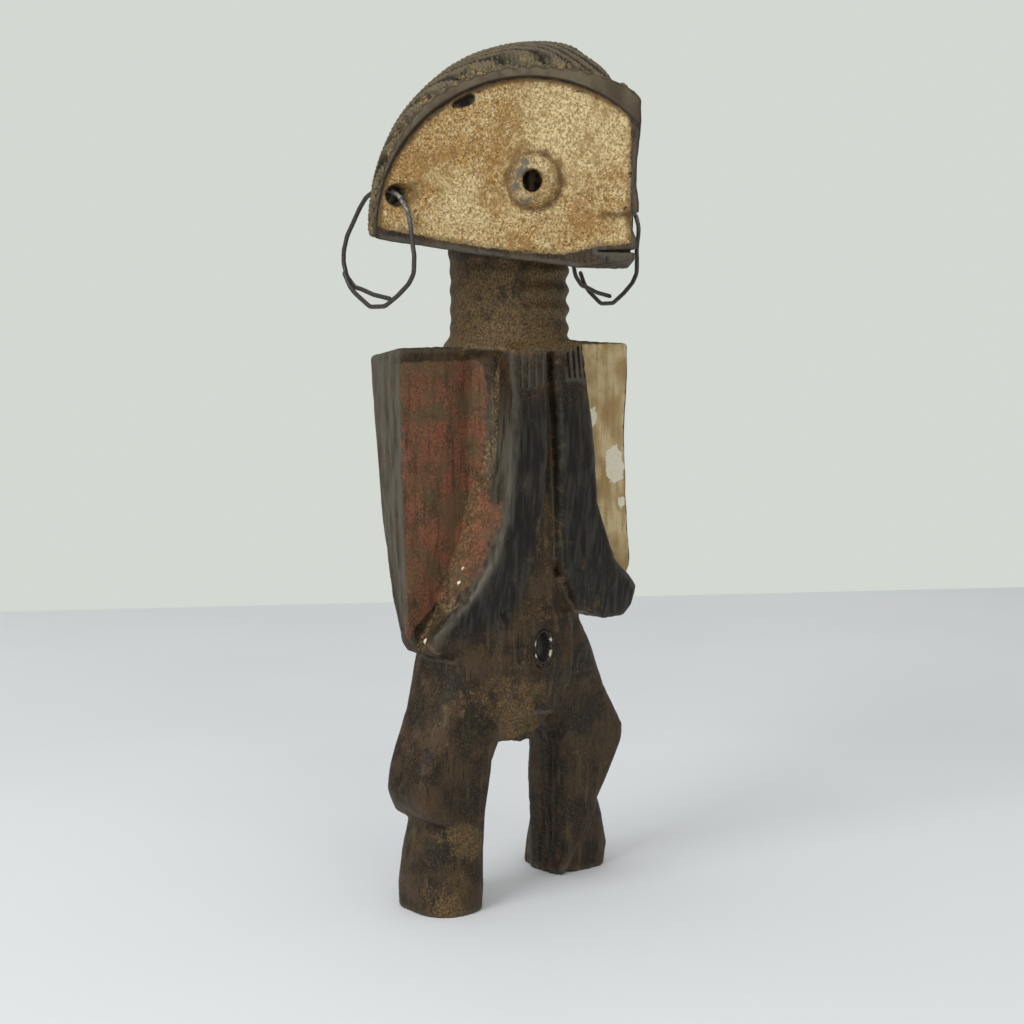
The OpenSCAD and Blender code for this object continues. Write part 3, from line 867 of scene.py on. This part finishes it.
def ear_hoop(name, sign, twist):
    """One hoop; sign is 1 for the left ear and -1 for the right. twist turns its lower half outward."""
    line, turn = hoop_line()
    line[:, 0] += twist * line[:, 1] * ramp(-line[:, 2], -12.0, 4.0)
    line = line * np.array([sign, 1.0, 1.0]) + np.array([sign * EAR_X, HOOP_Y, HOOP_Z])
    tangent = np.gradient(line, axis=0)
    tangent /= np.linalg.norm(tangent, axis=1, keepdims=True)
    side = np.array([1.0, 0.0, 0.0])
    lift = np.cross(tangent, side)
    lift /= np.linalg.norm(lift, axis=1, keepdims=True)
    rings, marks = [], []
    n = len(line)
    wide = np.ones(n)
    wide[0] = wide[-1] = 0.72
    caps = ((0, -0.25), (n - 1, 0.25))
    for i in range(n):
        place = line[i] + tangent[i] * dict(caps).get(i, 0.0)
        for k in range(WIRE_SIDES):
            a = 2 * math.pi * k / WIRE_SIDES
            rough = 0.05 * math.sin(i * 0.9 + k) * math.sin(i * 0.37) + 0.03 * math.sin(2.3 * k + i * 0.21)
            r = (WIRE_R - 0.03 + rough * 0.6) * wide[i]
            rings.append(place + r * (math.cos(a) * side + math.sin(a) * lift[i]))
            marks.append(math.exp(-((turn[i] - 122.0) / 24.0) ** 2))
    faces = [
        (i * WIRE_SIDES + k, i * WIRE_SIDES + (k + 1) % WIRE_SIDES,
         (i + 1) * WIRE_SIDES + (k + 1) % WIRE_SIDES, (i + 1) * WIRE_SIDES + k)
        for i in range(n - 1) for k in range(WIRE_SIDES)
    ]
    caps = [tuple(range(WIRE_SIDES))[::-1], tuple((n - 1) * WIRE_SIDES + k for k in range(WIRE_SIDES))]
    mesh = closed_mesh(name, rings, faces + caps)
    add_mark(mesh, "rubbed", marks)
    return link(mesh, name)


def closed_mesh(name, points, faces):
    """A mesh from points in millimetres, with every face turned to look outward."""
    mesh = bpy.data.meshes.new(name)
    mesh.from_pydata([tuple(p) for p in to_metres(np.array(points, np.float32))], [], faces)
    shape = bmesh.new()
    shape.from_mesh(mesh)
    bmesh.ops.recalc_face_normals(shape, faces=shape.faces)
    shape.to_mesh(mesh)
    shape.free()
    mesh.shade_smooth()
    return mesh


# ---- Navel: a cowrie with its back cut off, set in dark resin

SHELL_X = 0.4
SHELL_Z = 115.3
SHELL_HALF_W = 4.5
SHELL_HALF_H = 6.5
# Profiles from the rim to the middle: reach outside the shell's opening, and depth
SHELL_INSIDE = ((0.55, -0.25), (0.1, 0.05), (-0.1, 0.8), (-0.5, 2.4), (-1.7, 4.4), (-3.4, 5.6))
SHELL_OUTSIDE = ((-3.4, 7.2), (-1.0, 6.4), (0.5, 4.2), (1.0, 2.0), (1.05, 0.5), (0.9, 0.0))
RESIN_INSIDE = (
    (2.5, 0.3), (1.8, -0.05), (1.15, 0.0), (1.1, 1.2), (1.05, 3.0), (0.2, 5.6), (-1.2, 7.0), (-3.4, 7.6),
)
RESIN_OUTSIDE = ((-3.4, 9.0), (-0.6, 8.4), (1.2, 6.2), (2.2, 3.6), (2.6, 1.4), (2.7, 0.5))


def navel_bowl(name, inside, outside, turns, shift):
    """A closed oval bowl. shift(angle, reach, depth) returns how a point moves: (reach, depth)."""
    rings = []
    for reach, depth in inside + outside:
        ring = []
        for k in range(turns):
            a = 2 * math.pi * k / turns
            more, deeper = shift(a, reach, depth)
            point = 1.0 + 0.10 * max(0.0, math.sin(a)) ** 10
            r = reach + more
            ring.append((
                SHELL_X + (SHELL_HALF_W + r) * math.cos(a),
                BELLY_Y + depth + deeper,
                SHELL_Z + (SHELL_HALF_H + r) * math.sin(a) * point,
            ))
        rings.append(ring)
    points = [p for ring in rings for p in ring]
    floor = len(inside)
    middle = len(points)
    points += [(SHELL_X, BELLY_Y + depth + 0.3, SHELL_Z) for depth in (inside[-1][1], outside[0][1])]
    faces = []
    rows = len(rings)
    for j in range(rows):
        following = (j + 1) % rows
        for k in range(turns):
            a, b = j * turns + k, j * turns + (k + 1) % turns
            if j == floor - 1:
                faces.append((a, b, middle))
            else:
                faces.append((a, b, following * turns + (k + 1) % turns, following * turns + k))
            if j == floor:
                faces.append((b, a, middle + 1))
    mesh = closed_mesh(name, points, faces)
    # grime: dirt that spares the clean stretches of the rim, plus the depth below the belly, which darkens
    # the inside as painted shade.
    grime = [y - BELLY_Y + grimy(math.atan2(z - SHELL_Z, x - SHELL_X)) for x, y, z in points]
    add_mark(mesh, "grime", grime)
    return link(mesh, name)


# The stretches of the shell's rim that are rubbed clean: angle round it, and half-width
CLEAN_RIM = ((152, 20), (212, 13), (-36, 22), (38, 14))


def grimy(a):
    """How thick the dirt is at an angle round the rim, as so many millimetres of depth."""
    apart = [((math.degrees(a) - at + 180.0) % 360.0 - 180.0) / wide for at, wide in CLEAN_RIM]
    return 2.2 * (1.0 - max(math.exp(-t * t) for t in apart))


def shell_shift(a, reach, depth):
    """Teeth along the upper left of the opening, and a rim that is chipped here and there."""
    teeth = max(0.0, math.cos(a - math.radians(25.0))) ** 0.5
    ridge = (0.5 + 0.5 * math.cos(a * 21.0)) ** 2
    near_rim = max(0.0, 1.0 - abs(depth - 1.6) / 2.2)
    chipped = 0.25 * math.sin(a * 5.0 + 0.6) * math.sin(a * 3.0)
    inner = 1.0 if reach < 0.4 and depth < 5.0 else 0.0
    return -0.95 * teeth * ridge * near_rim * inner, max(0.0, chipped) if depth < 0.2 else 0.0


def resin_shift(a, reach, depth):
    uneven = 0.3 * math.sin(a * 4.0 + 1.0) + 0.2 * math.sin(a * 9.0 + 2.0) + 0.12 * math.sin(a * 17.0)
    return (uneven, 0.3 * uneven) if depth < 1.0 and reach > 1.0 else (0.0, 0.0)


# ---- Materials


class Graph:
    """One node material, with short names for the nodes that it uses."""

    def __init__(self, name):
        self.material = bpy.data.materials.new(name)
        self.material.use_nodes = True
        self.tree = self.material.node_tree
        self.shader = self.tree.nodes["Principled BSDF"]
        self.place = self.tree.nodes.new("ShaderNodeTexCoord").outputs["Object"]

    def put(self, socket, value):
        if isinstance(value, bpy.types.NodeSocket):
            self.tree.links.new(value, socket)
        elif isinstance(value, tuple) and socket.type == "RGBA":
            socket.default_value = (*value, 1.0)
        else:
            socket.default_value = value

    def attribute(self, name):
        node = self.tree.nodes.new("ShaderNodeAttribute")
        node.attribute_name = name
        return node.outputs["Fac"]

    def math(self, operation, a, b=0.0):
        node = self.tree.nodes.new("ShaderNodeMath")
        node.operation = operation
        for socket, value in zip(node.inputs, (a, b)):
            self.put(socket, value)
        return node.outputs[0]

    def add(self, a, b):
        return self.math("ADD", a, b)

    def total(self, *terms):
        return functools.reduce(self.add, terms)

    def times(self, a, b):
        return self.math("MULTIPLY", a, b)

    def mix(self, amount, a, b):
        node = self.tree.nodes.new("ShaderNodeMix")
        node.data_type = "RGBA"
        self.put(node.inputs[0], amount)
        self.put(node.inputs[6], a)
        self.put(node.inputs[7], b)
        return node.outputs[2]

    def span(self, value, low, high, out_low=0.0, out_high=1.0):
        """Rises smoothly from out_low to out_high as value goes from low to high."""
        node = self.tree.nodes.new("ShaderNodeMapRange")
        node.interpolation_type = "SMOOTHSTEP"
        for name, number in zip(("From Min", "From Max", "To Min", "To Max"), (low, high, out_low, out_high)):
            node.inputs[name].default_value = number
        self.put(node.inputs["Value"], value)
        return node.outputs[0]

    def stretched(self, size, stretch, shift):
        node = self.tree.nodes.new("ShaderNodeVectorMath")
        node.operation = "MULTIPLY_ADD"
        self.put(node.inputs[0], self.place)
        node.inputs[1].default_value = [1.0 / (MM * size * v) for v in stretch]
        node.inputs[2].default_value = (shift, shift * 0.7, shift * 0.4)
        return node.outputs[0]

    def noise(self, size, detail=2.0, rough=0.55, stretch=(1.0, 1.0, 1.0), shift=0.0):
        """Soft noise about 0.5, with features size millimetres across."""
        node = self.tree.nodes.new("ShaderNodeTexNoise")
        self.put(node.inputs["Vector"], self.stretched(size, stretch, shift))
        node.inputs["Scale"].default_value = 1.0
        node.inputs["Detail"].default_value = detail
        node.inputs["Roughness"].default_value = rough
        return node.outputs[0]

    def swing(self, noise, amount):
        """Noise made to swing about 0, by half of amount each way."""
        return self.times(self.add(noise, -0.5), amount)

    def flecks(self, colour, noise, low, high, most, fleck):
        """colour with fleck laid over it, most strongly where noise is above high."""
        return self.mix(self.span(noise, low, high, 0.0, most), colour, fleck)

    def inside(self, mark, noise, wander, soft):
        """1 where the named mark is above 0, with an edge that wanders by some millimetres."""
        ragged = self.add(self.attribute(mark), self.swing(noise, wander))
        return self.span(ragged, -soft, soft)

    def bump(self, height, distance_mm, strength=1.0):
        node = self.tree.nodes.new("ShaderNodeBump")
        node.inputs["Strength"].default_value = strength
        node.inputs["Distance"].default_value = distance_mm * MM
        self.put(node.inputs["Height"], height)
        self.put(self.shader.inputs["Normal"], node.outputs[0])

    def finish(self, colour, roughness, **constants):
        self.put(self.shader.inputs["Base Color"], colour)
        self.put(self.shader.inputs["Roughness"], roughness)
        for name, value in constants.items():
            self.shader.inputs[name.replace("_", " ")].default_value = value
        return self.material


# The colours of the wood, of what lies on it and of painted light and shade, as linear red, green and blue
DARK_WOOD = (0.016, 0.011, 0.006)
BROWN_WOOD = (0.056, 0.036, 0.017)
REDDISH_WOOD = (0.075, 0.038, 0.020)
PORES = (0.009, 0.006, 0.004)
DRY_STREAKS = (0.12, 0.092, 0.055)
DUST = (0.11, 0.072, 0.034)
# The next two colours are painted shade in the plaits' grooves and painted light on their tops
PLAIT_GROOVE_SHADE = (0.010, 0.008, 0.005)
PLAIT_TOP_LIGHT = (0.155, 0.125, 0.072)
HAIR_GRIME = (0.03, 0.023, 0.014)
GOLDEN_DUST = (0.33, 0.225, 0.09)
PALE_CLAY = (0.64, 0.52, 0.28)
OCHRE_CLAY = (0.47, 0.285, 0.095)
PALE_CLAY_PITS = (0.26, 0.17, 0.065)
OCHRE_CLAY_PITS = (0.13, 0.068, 0.02)
CLAY_GRAINS = (0.86, 0.78, 0.56)
CLAY_STAIN = (0.14, 0.076, 0.024)
CLAY_BLOTCH = (0.25, 0.145, 0.05)
EDGE_GRIME = (0.12, 0.075, 0.03)
SHADE_GRIME = (0.12, 0.068, 0.025)
# Grime with painted shade, for the face's hollows
HOLLOW_GRIME_AND_SHADE = (0.13, 0.075, 0.028)
BROWNED_RED = (0.082, 0.052, 0.027)
RED_EARTH = (0.205, 0.068, 0.036)
RED_GRAINS = (0.27, 0.135, 0.075)
RED_PITS = (0.038, 0.024, 0.016)
RED_STREAKS = (0.045, 0.030, 0.018)
RED_DUST = (0.110, 0.082, 0.040)
CREAM_DARK = (0.38, 0.26, 0.115)
CREAM_LIGHT = (0.60, 0.48, 0.27)
CREAM_STREAKS = (0.33, 0.21, 0.075)
CREAM_WHITE = (0.74, 0.69, 0.54)
CREAM_PITS = (0.16, 0.10, 0.04)
SOOT = (0.005, 0.004, 0.003)
SOOT_STREAKS = (0.030, 0.028, 0.023)
# Rubbed wood with a painted sheen, for the forearms' arrises and elbows
GREY_WOOD_AND_SHEEN = (0.100, 0.090, 0.068)
# Rubbed wear with a painted highlight, for convex edges
RUBBED_EDGE_AND_HIGHLIGHT = (0.094, 0.084, 0.066)
BAND_DARK = (0.055, 0.042, 0.024)
BAND_LIGHT = (0.125, 0.100, 0.060)
BAND_STAIN = (0.07, 0.04, 0.028)
# Painted shade along the headband's edges
BAND_EDGE_SHADE = (0.028, 0.018, 0.013)
EARTH_DARK = (0.046, 0.028, 0.011)
EARTH_LIGHT = (0.190, 0.122, 0.050)
EYE_GREY = (0.095, 0.098, 0.088)
CHIPPED_CLAY = (0.035, 0.028, 0.02)
CRUST_DARK = (0.08, 0.045, 0.02)
CRUST_LIGHT = (0.36, 0.24, 0.11)
# Dirt with painted shade, for every hollow
HOLLOW_DIRT_AND_SHADE = (0.022, 0.015, 0.01)
# Painted shade inside the broken hole
CHIP_HOLE_SHADE = (0.012, 0.01, 0.008)
WHITE_GRAIN = (0.80, 0.74, 0.58)


def bare_wood(g, n):
    """Oiled and handled wood: brown-black, and redder and dustier in places."""
    colour = g.mix(g.span(n.wide, 0.38, 0.64), DARK_WOOD, BROWN_WOOD)
    colour = g.flecks(colour, n.patch, 0.52, 0.7, 0.6, REDDISH_WOOD)
    colour = g.flecks(colour, n.grain, 0.5, 0.68, 0.7, PORES)
    colour = g.flecks(colour, n.streak, 0.57, 0.72, 0.35, DRY_STREAKS)
    return g.flecks(colour, n.fine, 0.52, 0.64, 0.45, DUST)


def hair_colour(g, n, cavity):
    # The plaits are painted darker down in their grooves and lighter on their tops, by the relief's height:
    # painted shade and painted light.
    strand = g.add(g.attribute("plait"), g.swing(n.medium, 1.2))
    colour = g.mix(g.span(strand, -0.5, 0.6), PLAIT_GROOVE_SHADE, PLAIT_TOP_LIGHT)
    colour = g.flecks(colour, n.fine, 0.45, 0.7, 0.5, HAIR_GRIME)
    border = g.span(g.attribute("hair"), 7.0, 0.0)
    gold = g.total(g.times(border, 0.20), g.swing(n.sand, 1.7), g.swing(n.patch, 0.8), g.times(cavity, 0.06))
    return g.mix(g.span(gold, 0.24, 0.42, 0.0, 0.75), colour, GOLDEN_DUST)


def face_paint(g, n):
    """White clay gone ochre with age, speckled to the size of sand."""
    tone = g.total(g.attribute("tone"), g.swing(n.patch, 1.2), g.swing(n.medium, 0.9))
    light = g.mix(g.span(tone, 0.05, 0.85), PALE_CLAY, OCHRE_CLAY)
    dark = g.mix(g.span(tone, 0.05, 0.85), PALE_CLAY_PITS, OCHRE_CLAY_PITS)
    colour = g.mix(g.span(n.sand, 0.38, 0.62), dark, light)
    colour = g.flecks(colour, n.fine, 0.58, 0.68, 0.6, CLAY_GRAINS)
    colour = g.flecks(colour, n.sand_two, 0.54, 0.66, 0.65, CLAY_STAIN)
    blotch = g.span(n.wide_two, 0.46, 0.62)
    colour = g.mix(g.times(blotch, g.span(n.medium, 0.4, 0.6, 0.15, 0.7)), colour, CLAY_BLOTCH)
    grime = g.add(g.attribute("face"), g.swing(n.patch, 9.0))
    colour = g.mix(g.span(grime, 2.2, 0.0, 0.0, 0.6), colour, EDGE_GRIME)
    shade = g.add(g.attribute("shade"), g.swing(n.medium, 1.1))
    colour = g.mix(g.span(shade, 0.15, 1.0, 0.0, 0.8), colour, SHADE_GRIME)
    # Darker in every hollow of the face: grime and painted shade.
    hollow = g.add(g.attribute("cavity"), g.swing(n.medium, 0.8))
    return g.mix(g.span(hollow, 0.25, 1.3, 0.0, 0.7), colour, HOLLOW_GRIME_AND_SHADE)


def red_paint(g, n):
    colour = g.mix(g.span(n.patch, 0.34, 0.62), BROWNED_RED, RED_EARTH)
    colour = g.flecks(colour, n.sand, 0.42, 0.6, 0.6, RED_GRAINS)
    colour = g.flecks(colour, n.fine, 0.5, 0.66, 0.65, RED_PITS)
    colour = g.flecks(colour, n.streak, 0.5, 0.66, 0.5, RED_STREAKS)
    return g.flecks(colour, n.wide_two, 0.48, 0.62, 0.6, RED_DUST)


def cream_paint(g, n):
    colour = g.mix(g.span(n.wide_two, 0.35, 0.65), CREAM_DARK, CREAM_LIGHT)
    colour = g.flecks(colour, n.streak, 0.45, 0.65, 0.6, CREAM_STREAKS)
    white = g.add(g.attribute("white"), g.swing(n.medium, 1.0))
    colour = g.mix(g.span(white, -0.05, 0.08), colour, CREAM_WHITE)
    return g.flecks(colour, n.fine, 0.58, 0.7, 0.55, CREAM_PITS)


def wood_material():
    g = Graph("patinated_wood")
    along_grain = (1.0, 1.0, 9.0)
    n = SimpleNamespace(
        wide=g.noise(17.0, 3.0), wide_two=g.noise(15.0, 2.0, shift=31.0), patch=g.noise(9.0, 4.0, shift=7.0),
        medium=g.noise(3.6, 3.0, shift=3.0), fine=g.noise(0.9, 2.0, 0.7, shift=5.0),
        sand=g.noise(1.15, 3.0, 0.8, shift=9.0), sand_two=g.noise(1.4, 3.0, 0.8, shift=17.0),
        grain=g.noise(1.1, 3.0, 0.6, along_grain, 11.0), streak=g.noise(2.6, 2.0, 0.6, along_grain, 23.0),
    )
    cavity = g.attribute("cavity")
    wood = bare_wood(g, n)
    # Soot, handling and a painted sheen on the forearms
    soot = g.inside("soot", n.wide, 5.0, 2.0)
    sooty = g.mix(g.span(n.streak, 0.42, 0.64), SOOT, SOOT_STREAKS)
    wood = g.mix(g.times(soot, 0.88), wood, sooty)
    # Rubbed, greyish wood with a painted sheen on the forearms' arrises and elbows.
    grey_and_sheen = g.times(g.attribute("grey_and_sheen"), g.span(n.streak, 0.35, 0.6, 0.25, 0.9))
    wood = g.mix(grey_and_sheen, wood, GREY_WOOD_AND_SHEEN)
    # Convex edges are lighter: rubbed wear and a painted highlight.
    rubbed = g.add(g.attribute("edge"), g.swing(n.medium, 1.4))
    wood = g.mix(g.span(rubbed, 0.6, 1.8, 0.0, 0.6), wood, RUBBED_EDGE_AND_HIGHLIGHT)
    # Headband: smooth and greyer
    band = g.inside("band", n.medium, 1.0, 0.7)
    band_colour = g.mix(g.span(n.wide, 0.35, 0.65), BAND_DARK, BAND_LIGHT)
    band_colour = g.flecks(band_colour, n.patch, 0.5, 0.66, 0.6, BAND_STAIN)
    wood = g.mix(band, wood, band_colour)
    # A dark line along the headband's edges, where it steps to the panel and the hair: painted shade.
    line = g.math("ABSOLUTE", g.add(g.attribute("band"), 0.5))
    wood = g.mix(g.span(line, 1.5, 0.5, 0.0, 0.85), wood, BAND_EDGE_SHADE)
    # Ochre earth in hollows and where it has settled
    uneven = g.total(g.swing(n.sand, 1.4), g.swing(n.medium, 1.6), g.swing(n.patch, 2.2))
    earth = g.total(g.attribute("dust"), g.span(cavity, 0.3, 2.4, 0.0, 0.45), uneven)
    earth_colour = g.mix(g.span(n.fine, 0.35, 0.65), EARTH_DARK, EARTH_LIGHT)
    wood = g.mix(g.span(earth, 0.35, 1.1, 0.0, 0.8), wood, earth_colour)
    hair = g.inside("hair", n.fine, 1.5, 0.4)
    colour = g.mix(hair, wood, hair_colour(g, n, cavity))
    # Paints, each with a worn edge
    red = g.inside("red", n.medium, 3.4, 0.5)
    colour = g.mix(g.times(red, g.span(n.patch, 0.28, 0.42, 0.55, 1.0)), colour, red_paint(g, n))
    cream = g.inside("cream", n.medium, 1.8, 0.4)
    colour = g.mix(cream, colour, cream_paint(g, n))
    face = g.inside("face", n.medium, 2.6, 0.4)
    colour = g.mix(face, colour, face_paint(g, n))
    eye = g.times(g.inside("eye", n.sand, 2.0, 1.2), g.span(n.medium, 0.42, 0.6, 0.15, 0.85))
    colour = g.mix(eye, colour, EYE_GREY)
    chips = g.times(g.span(n.medium, 0.66, 0.7), g.span(g.attribute("face"), 5.0, 1.0, 0.25, 1.0))
    chips = g.times(chips, face)
    colour = g.mix(chips, colour, CHIPPED_CLAY)
    # Earth caked in the creases beside the forearms, and dirt with painted shade in every hollow
    crease = g.inside("crease", n.medium, 4.5, 0.8)
    crease = g.times(crease, g.span(n.sand, 0.40, 0.58))
    crease = g.times(crease, g.span(n.patch, 0.36, 0.56, 0.35, 1.0))
    crust = g.mix(g.span(n.sand_two, 0.38, 0.62), CRUST_DARK, CRUST_LIGHT)
    colour = g.mix(g.times(crease, 0.8), colour, crust)
    colour = g.mix(g.span(cavity, 1.2, 3.6, 0.0, 0.72), colour, HOLLOW_DIRT_AND_SHADE)
    # The broken hole in the right panel is near black: painted shade of its depth.
    colour = g.mix(g.attribute("chip"), colour, CHIP_HOLE_SHADE)
    grains = g.inside("grains", n.sand, 1.4, 0.2)
    colour = g.mix(grains, colour, WHITE_GRAIN)
    painted = g.math("MAXIMUM", g.math("MAXIMUM", face, cream), g.math("MAXIMUM", red, crease))
    gloss = g.times(soot, g.span(n.wide, 0.3, 0.6, 0.5, 1.0))
    roughness = g.add(g.span(n.medium, 0.3, 0.7, 0.5, 0.66), g.times(gloss, -0.2))
    roughness = g.math("MAXIMUM", roughness, g.times(painted, 0.86))
    height = g.total(
        g.times(n.grain, 0.35), g.times(n.fine, 0.25),
        g.times(g.times(painted, n.sand), 0.6), g.times(g.times(hair, n.fine), 0.6),
    )
    g.bump(height, 0.3, 0.5)
    return g.finish(colour, roughness, Specular_IOR_Level=0.22)


def wire_material():
    """Old iron wire: dark with rust, and rubbed bright where it hangs in the ear."""
    g = Graph("iron_wire")
    rust = g.span(g.noise(2.4, 3.0), 0.5, 0.68)
    colour = g.mix(g.times(rust, 0.6), (0.042, 0.040, 0.038), (0.085, 0.058, 0.034))
    flecks = g.span(g.noise(0.8, 2.0, shift=4.0), 0.62, 0.72)
    colour = g.mix(g.times(flecks, 0.5), colour, (0.22, 0.19, 0.15))
    rubbed = g.times(g.attribute("rubbed"), g.span(g.noise(1.4, 2.0, shift=8.0), 0.35, 0.6))
    colour = g.mix(rubbed, colour, (0.36, 0.34, 0.31))
    g.bump(g.noise(0.6, 3.0, 0.7), 0.12, 0.7)
    return g.finish(colour, g.span(rust, 0.0, 1.0, 0.42, 0.7), Metallic=0.35)


def shell_material():
    """Cowrie: white where the rim is clean, and brown-black inside: grime, with painted shade that deepens
    with depth.
    """
    g = Graph("shell")
    grime = g.add(g.attribute("grime"), g.swing(g.noise(2.2, 3.0), 3.0))
    clean = g.mix(g.span(g.noise(0.9, 2.0), 0.4, 0.7), (0.70, 0.65, 0.54), (0.42, 0.34, 0.24))
    colour = g.mix(g.span(grime, -0.2, 1.3), clean, (0.012, 0.008, 0.006))
    g.bump(g.noise(0.7, 2.0), 0.1, 0.5)
    return g.finish(colour, g.span(grime, 0.0, 2.0, 0.3, 0.6), Coat_Weight=0.15)


def resin_material():
    g = Graph("resin")
    colour = g.mix(g.span(g.noise(1.6, 3.0), 0.4, 0.68), (0.020, 0.013, 0.007), (0.075, 0.048, 0.023))
    g.bump(g.noise(1.1, 3.0, 0.6), 0.3, 0.7)
    return g.finish(colour, g.span(g.noise(2.6), 0.3, 0.7, 0.5, 0.7), Specular_IOR_Level=0.25)


def paper_material():
    """Matt white paper sweep, faintly uneven."""
    g = Graph("paper")
    colour = g.mix(g.span(g.noise(260.0, 2.0), 0.3, 0.7), (0.79, 0.82, 0.84), (0.815, 0.845, 0.86))
    g.bump(g.noise(0.8, 2.0), 0.03, 0.2)
    return g.finish(colour, g.span(g.noise(90.0), 0.3, 0.7, 0.72, 0.8))


# ---- Room: a pale sheet of paper that ends behind the figure, and soft light

SHEET_HALF = 0.86
SHEET_TURN = math.radians(-31.0)
WALL_R = 3.0
WALL_COLOUR = (0.652, 0.686, 0.64, 1.0)
SKY_COLOUR = (0.98, 0.975, 0.96, 1.0)
SKY_STRENGTH = 0.48
# Lamps: place, size of the square, watts
LAMPS = {
    "window": ((-1.6, -0.2, 1.2), 0.9, 17.5),
    "front": ((-0.8, -1.5, 0.9), 1.4, 7.0),
    "ceiling": ((0.1, 0.2, 2.2), 2.0, 8.0),
}


def add_backdrop():
    """A pale wall all round, well away from the figure. It is seen but lights nothing."""
    bpy.ops.mesh.primitive_cylinder_add(vertices=96, radius=WALL_R, depth=6.0, end_fill_type="NOTHING")
    wall = bpy.context.object
    wall.name = "backdrop"
    wall.visible_diffuse = False
    wall.visible_glossy = False
    wall.visible_shadow = False
    material = bpy.data.materials.new("pale_wall")
    material.use_nodes = True
    shader = material.node_tree.nodes["Principled BSDF"]
    shader.inputs["Base Color"].default_value = (0.0, 0.0, 0.0, 1.0)
    shader.inputs["Specular IOR Level"].default_value = 0.0
    shader.inputs["Emission Color"].default_value = WALL_COLOUR
    shader.inputs["Emission Strength"].default_value = 1.0
    wall.data.materials.append(material)


def add_room():
    bpy.ops.mesh.primitive_plane_add(size=SHEET_HALF * 2, rotation=(0, 0, SHEET_TURN))
    floor = bpy.context.object
    floor.name = "floor"
    floor.data.materials.append(paper_material())
    add_backdrop()
    world = bpy.data.worlds.new("studio")
    world.use_nodes = True
    sky = world.node_tree.nodes["Background"]
    sky.inputs["Color"].default_value = SKY_COLOUR
    sky.inputs["Strength"].default_value = SKY_STRENGTH
    bpy.context.scene.world = world
    for name, (place, size, power) in LAMPS.items():
        add_light(name, place, size, power)


def add_light(name, place, size, power):
    data = bpy.data.lights.new(name, "AREA")
    data.size = size
    data.energy = power
    lamp = bpy.data.objects.new(name, data)
    lamp.location = place
    target = Vector((0.0, 0.0, 0.18))
    lamp.rotation_euler = (Vector(place) - target).to_track_quat("Z", "Y").to_euler()
    bpy.context.scene.collection.objects.link(lamp)


# ---- The whole object


def add_piece(piece, material, body, node):
    piece.data.materials.append(material)
    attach(piece, body)
    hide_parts(node)


add_camera()
add_room()
bpy.context.scene.view_settings.view_transform = "Standard"
add_piece(carve_figure(), wood_material(), "figure", "carved_figure")
iron = wire_material()
add_piece(ear_hoop("right_ear_hoop", -1, 0.0), iron, "right_hoop", "right_earring")
add_piece(ear_hoop("left_ear_hoop", 1, 0.17), iron, "left_hoop", "left_earring")
cowrie = navel_bowl("cowrie_shell", SHELL_INSIDE, SHELL_OUTSIDE, 168, shell_shift)
add_piece(cowrie, shell_material(), "figure", "navel_cowrie")
bed = navel_bowl("resin_bed", RESIN_INSIDE, RESIN_OUTSIDE, 96, resin_shift)
add_piece(bed, resin_material(), "figure", "navel_resin")
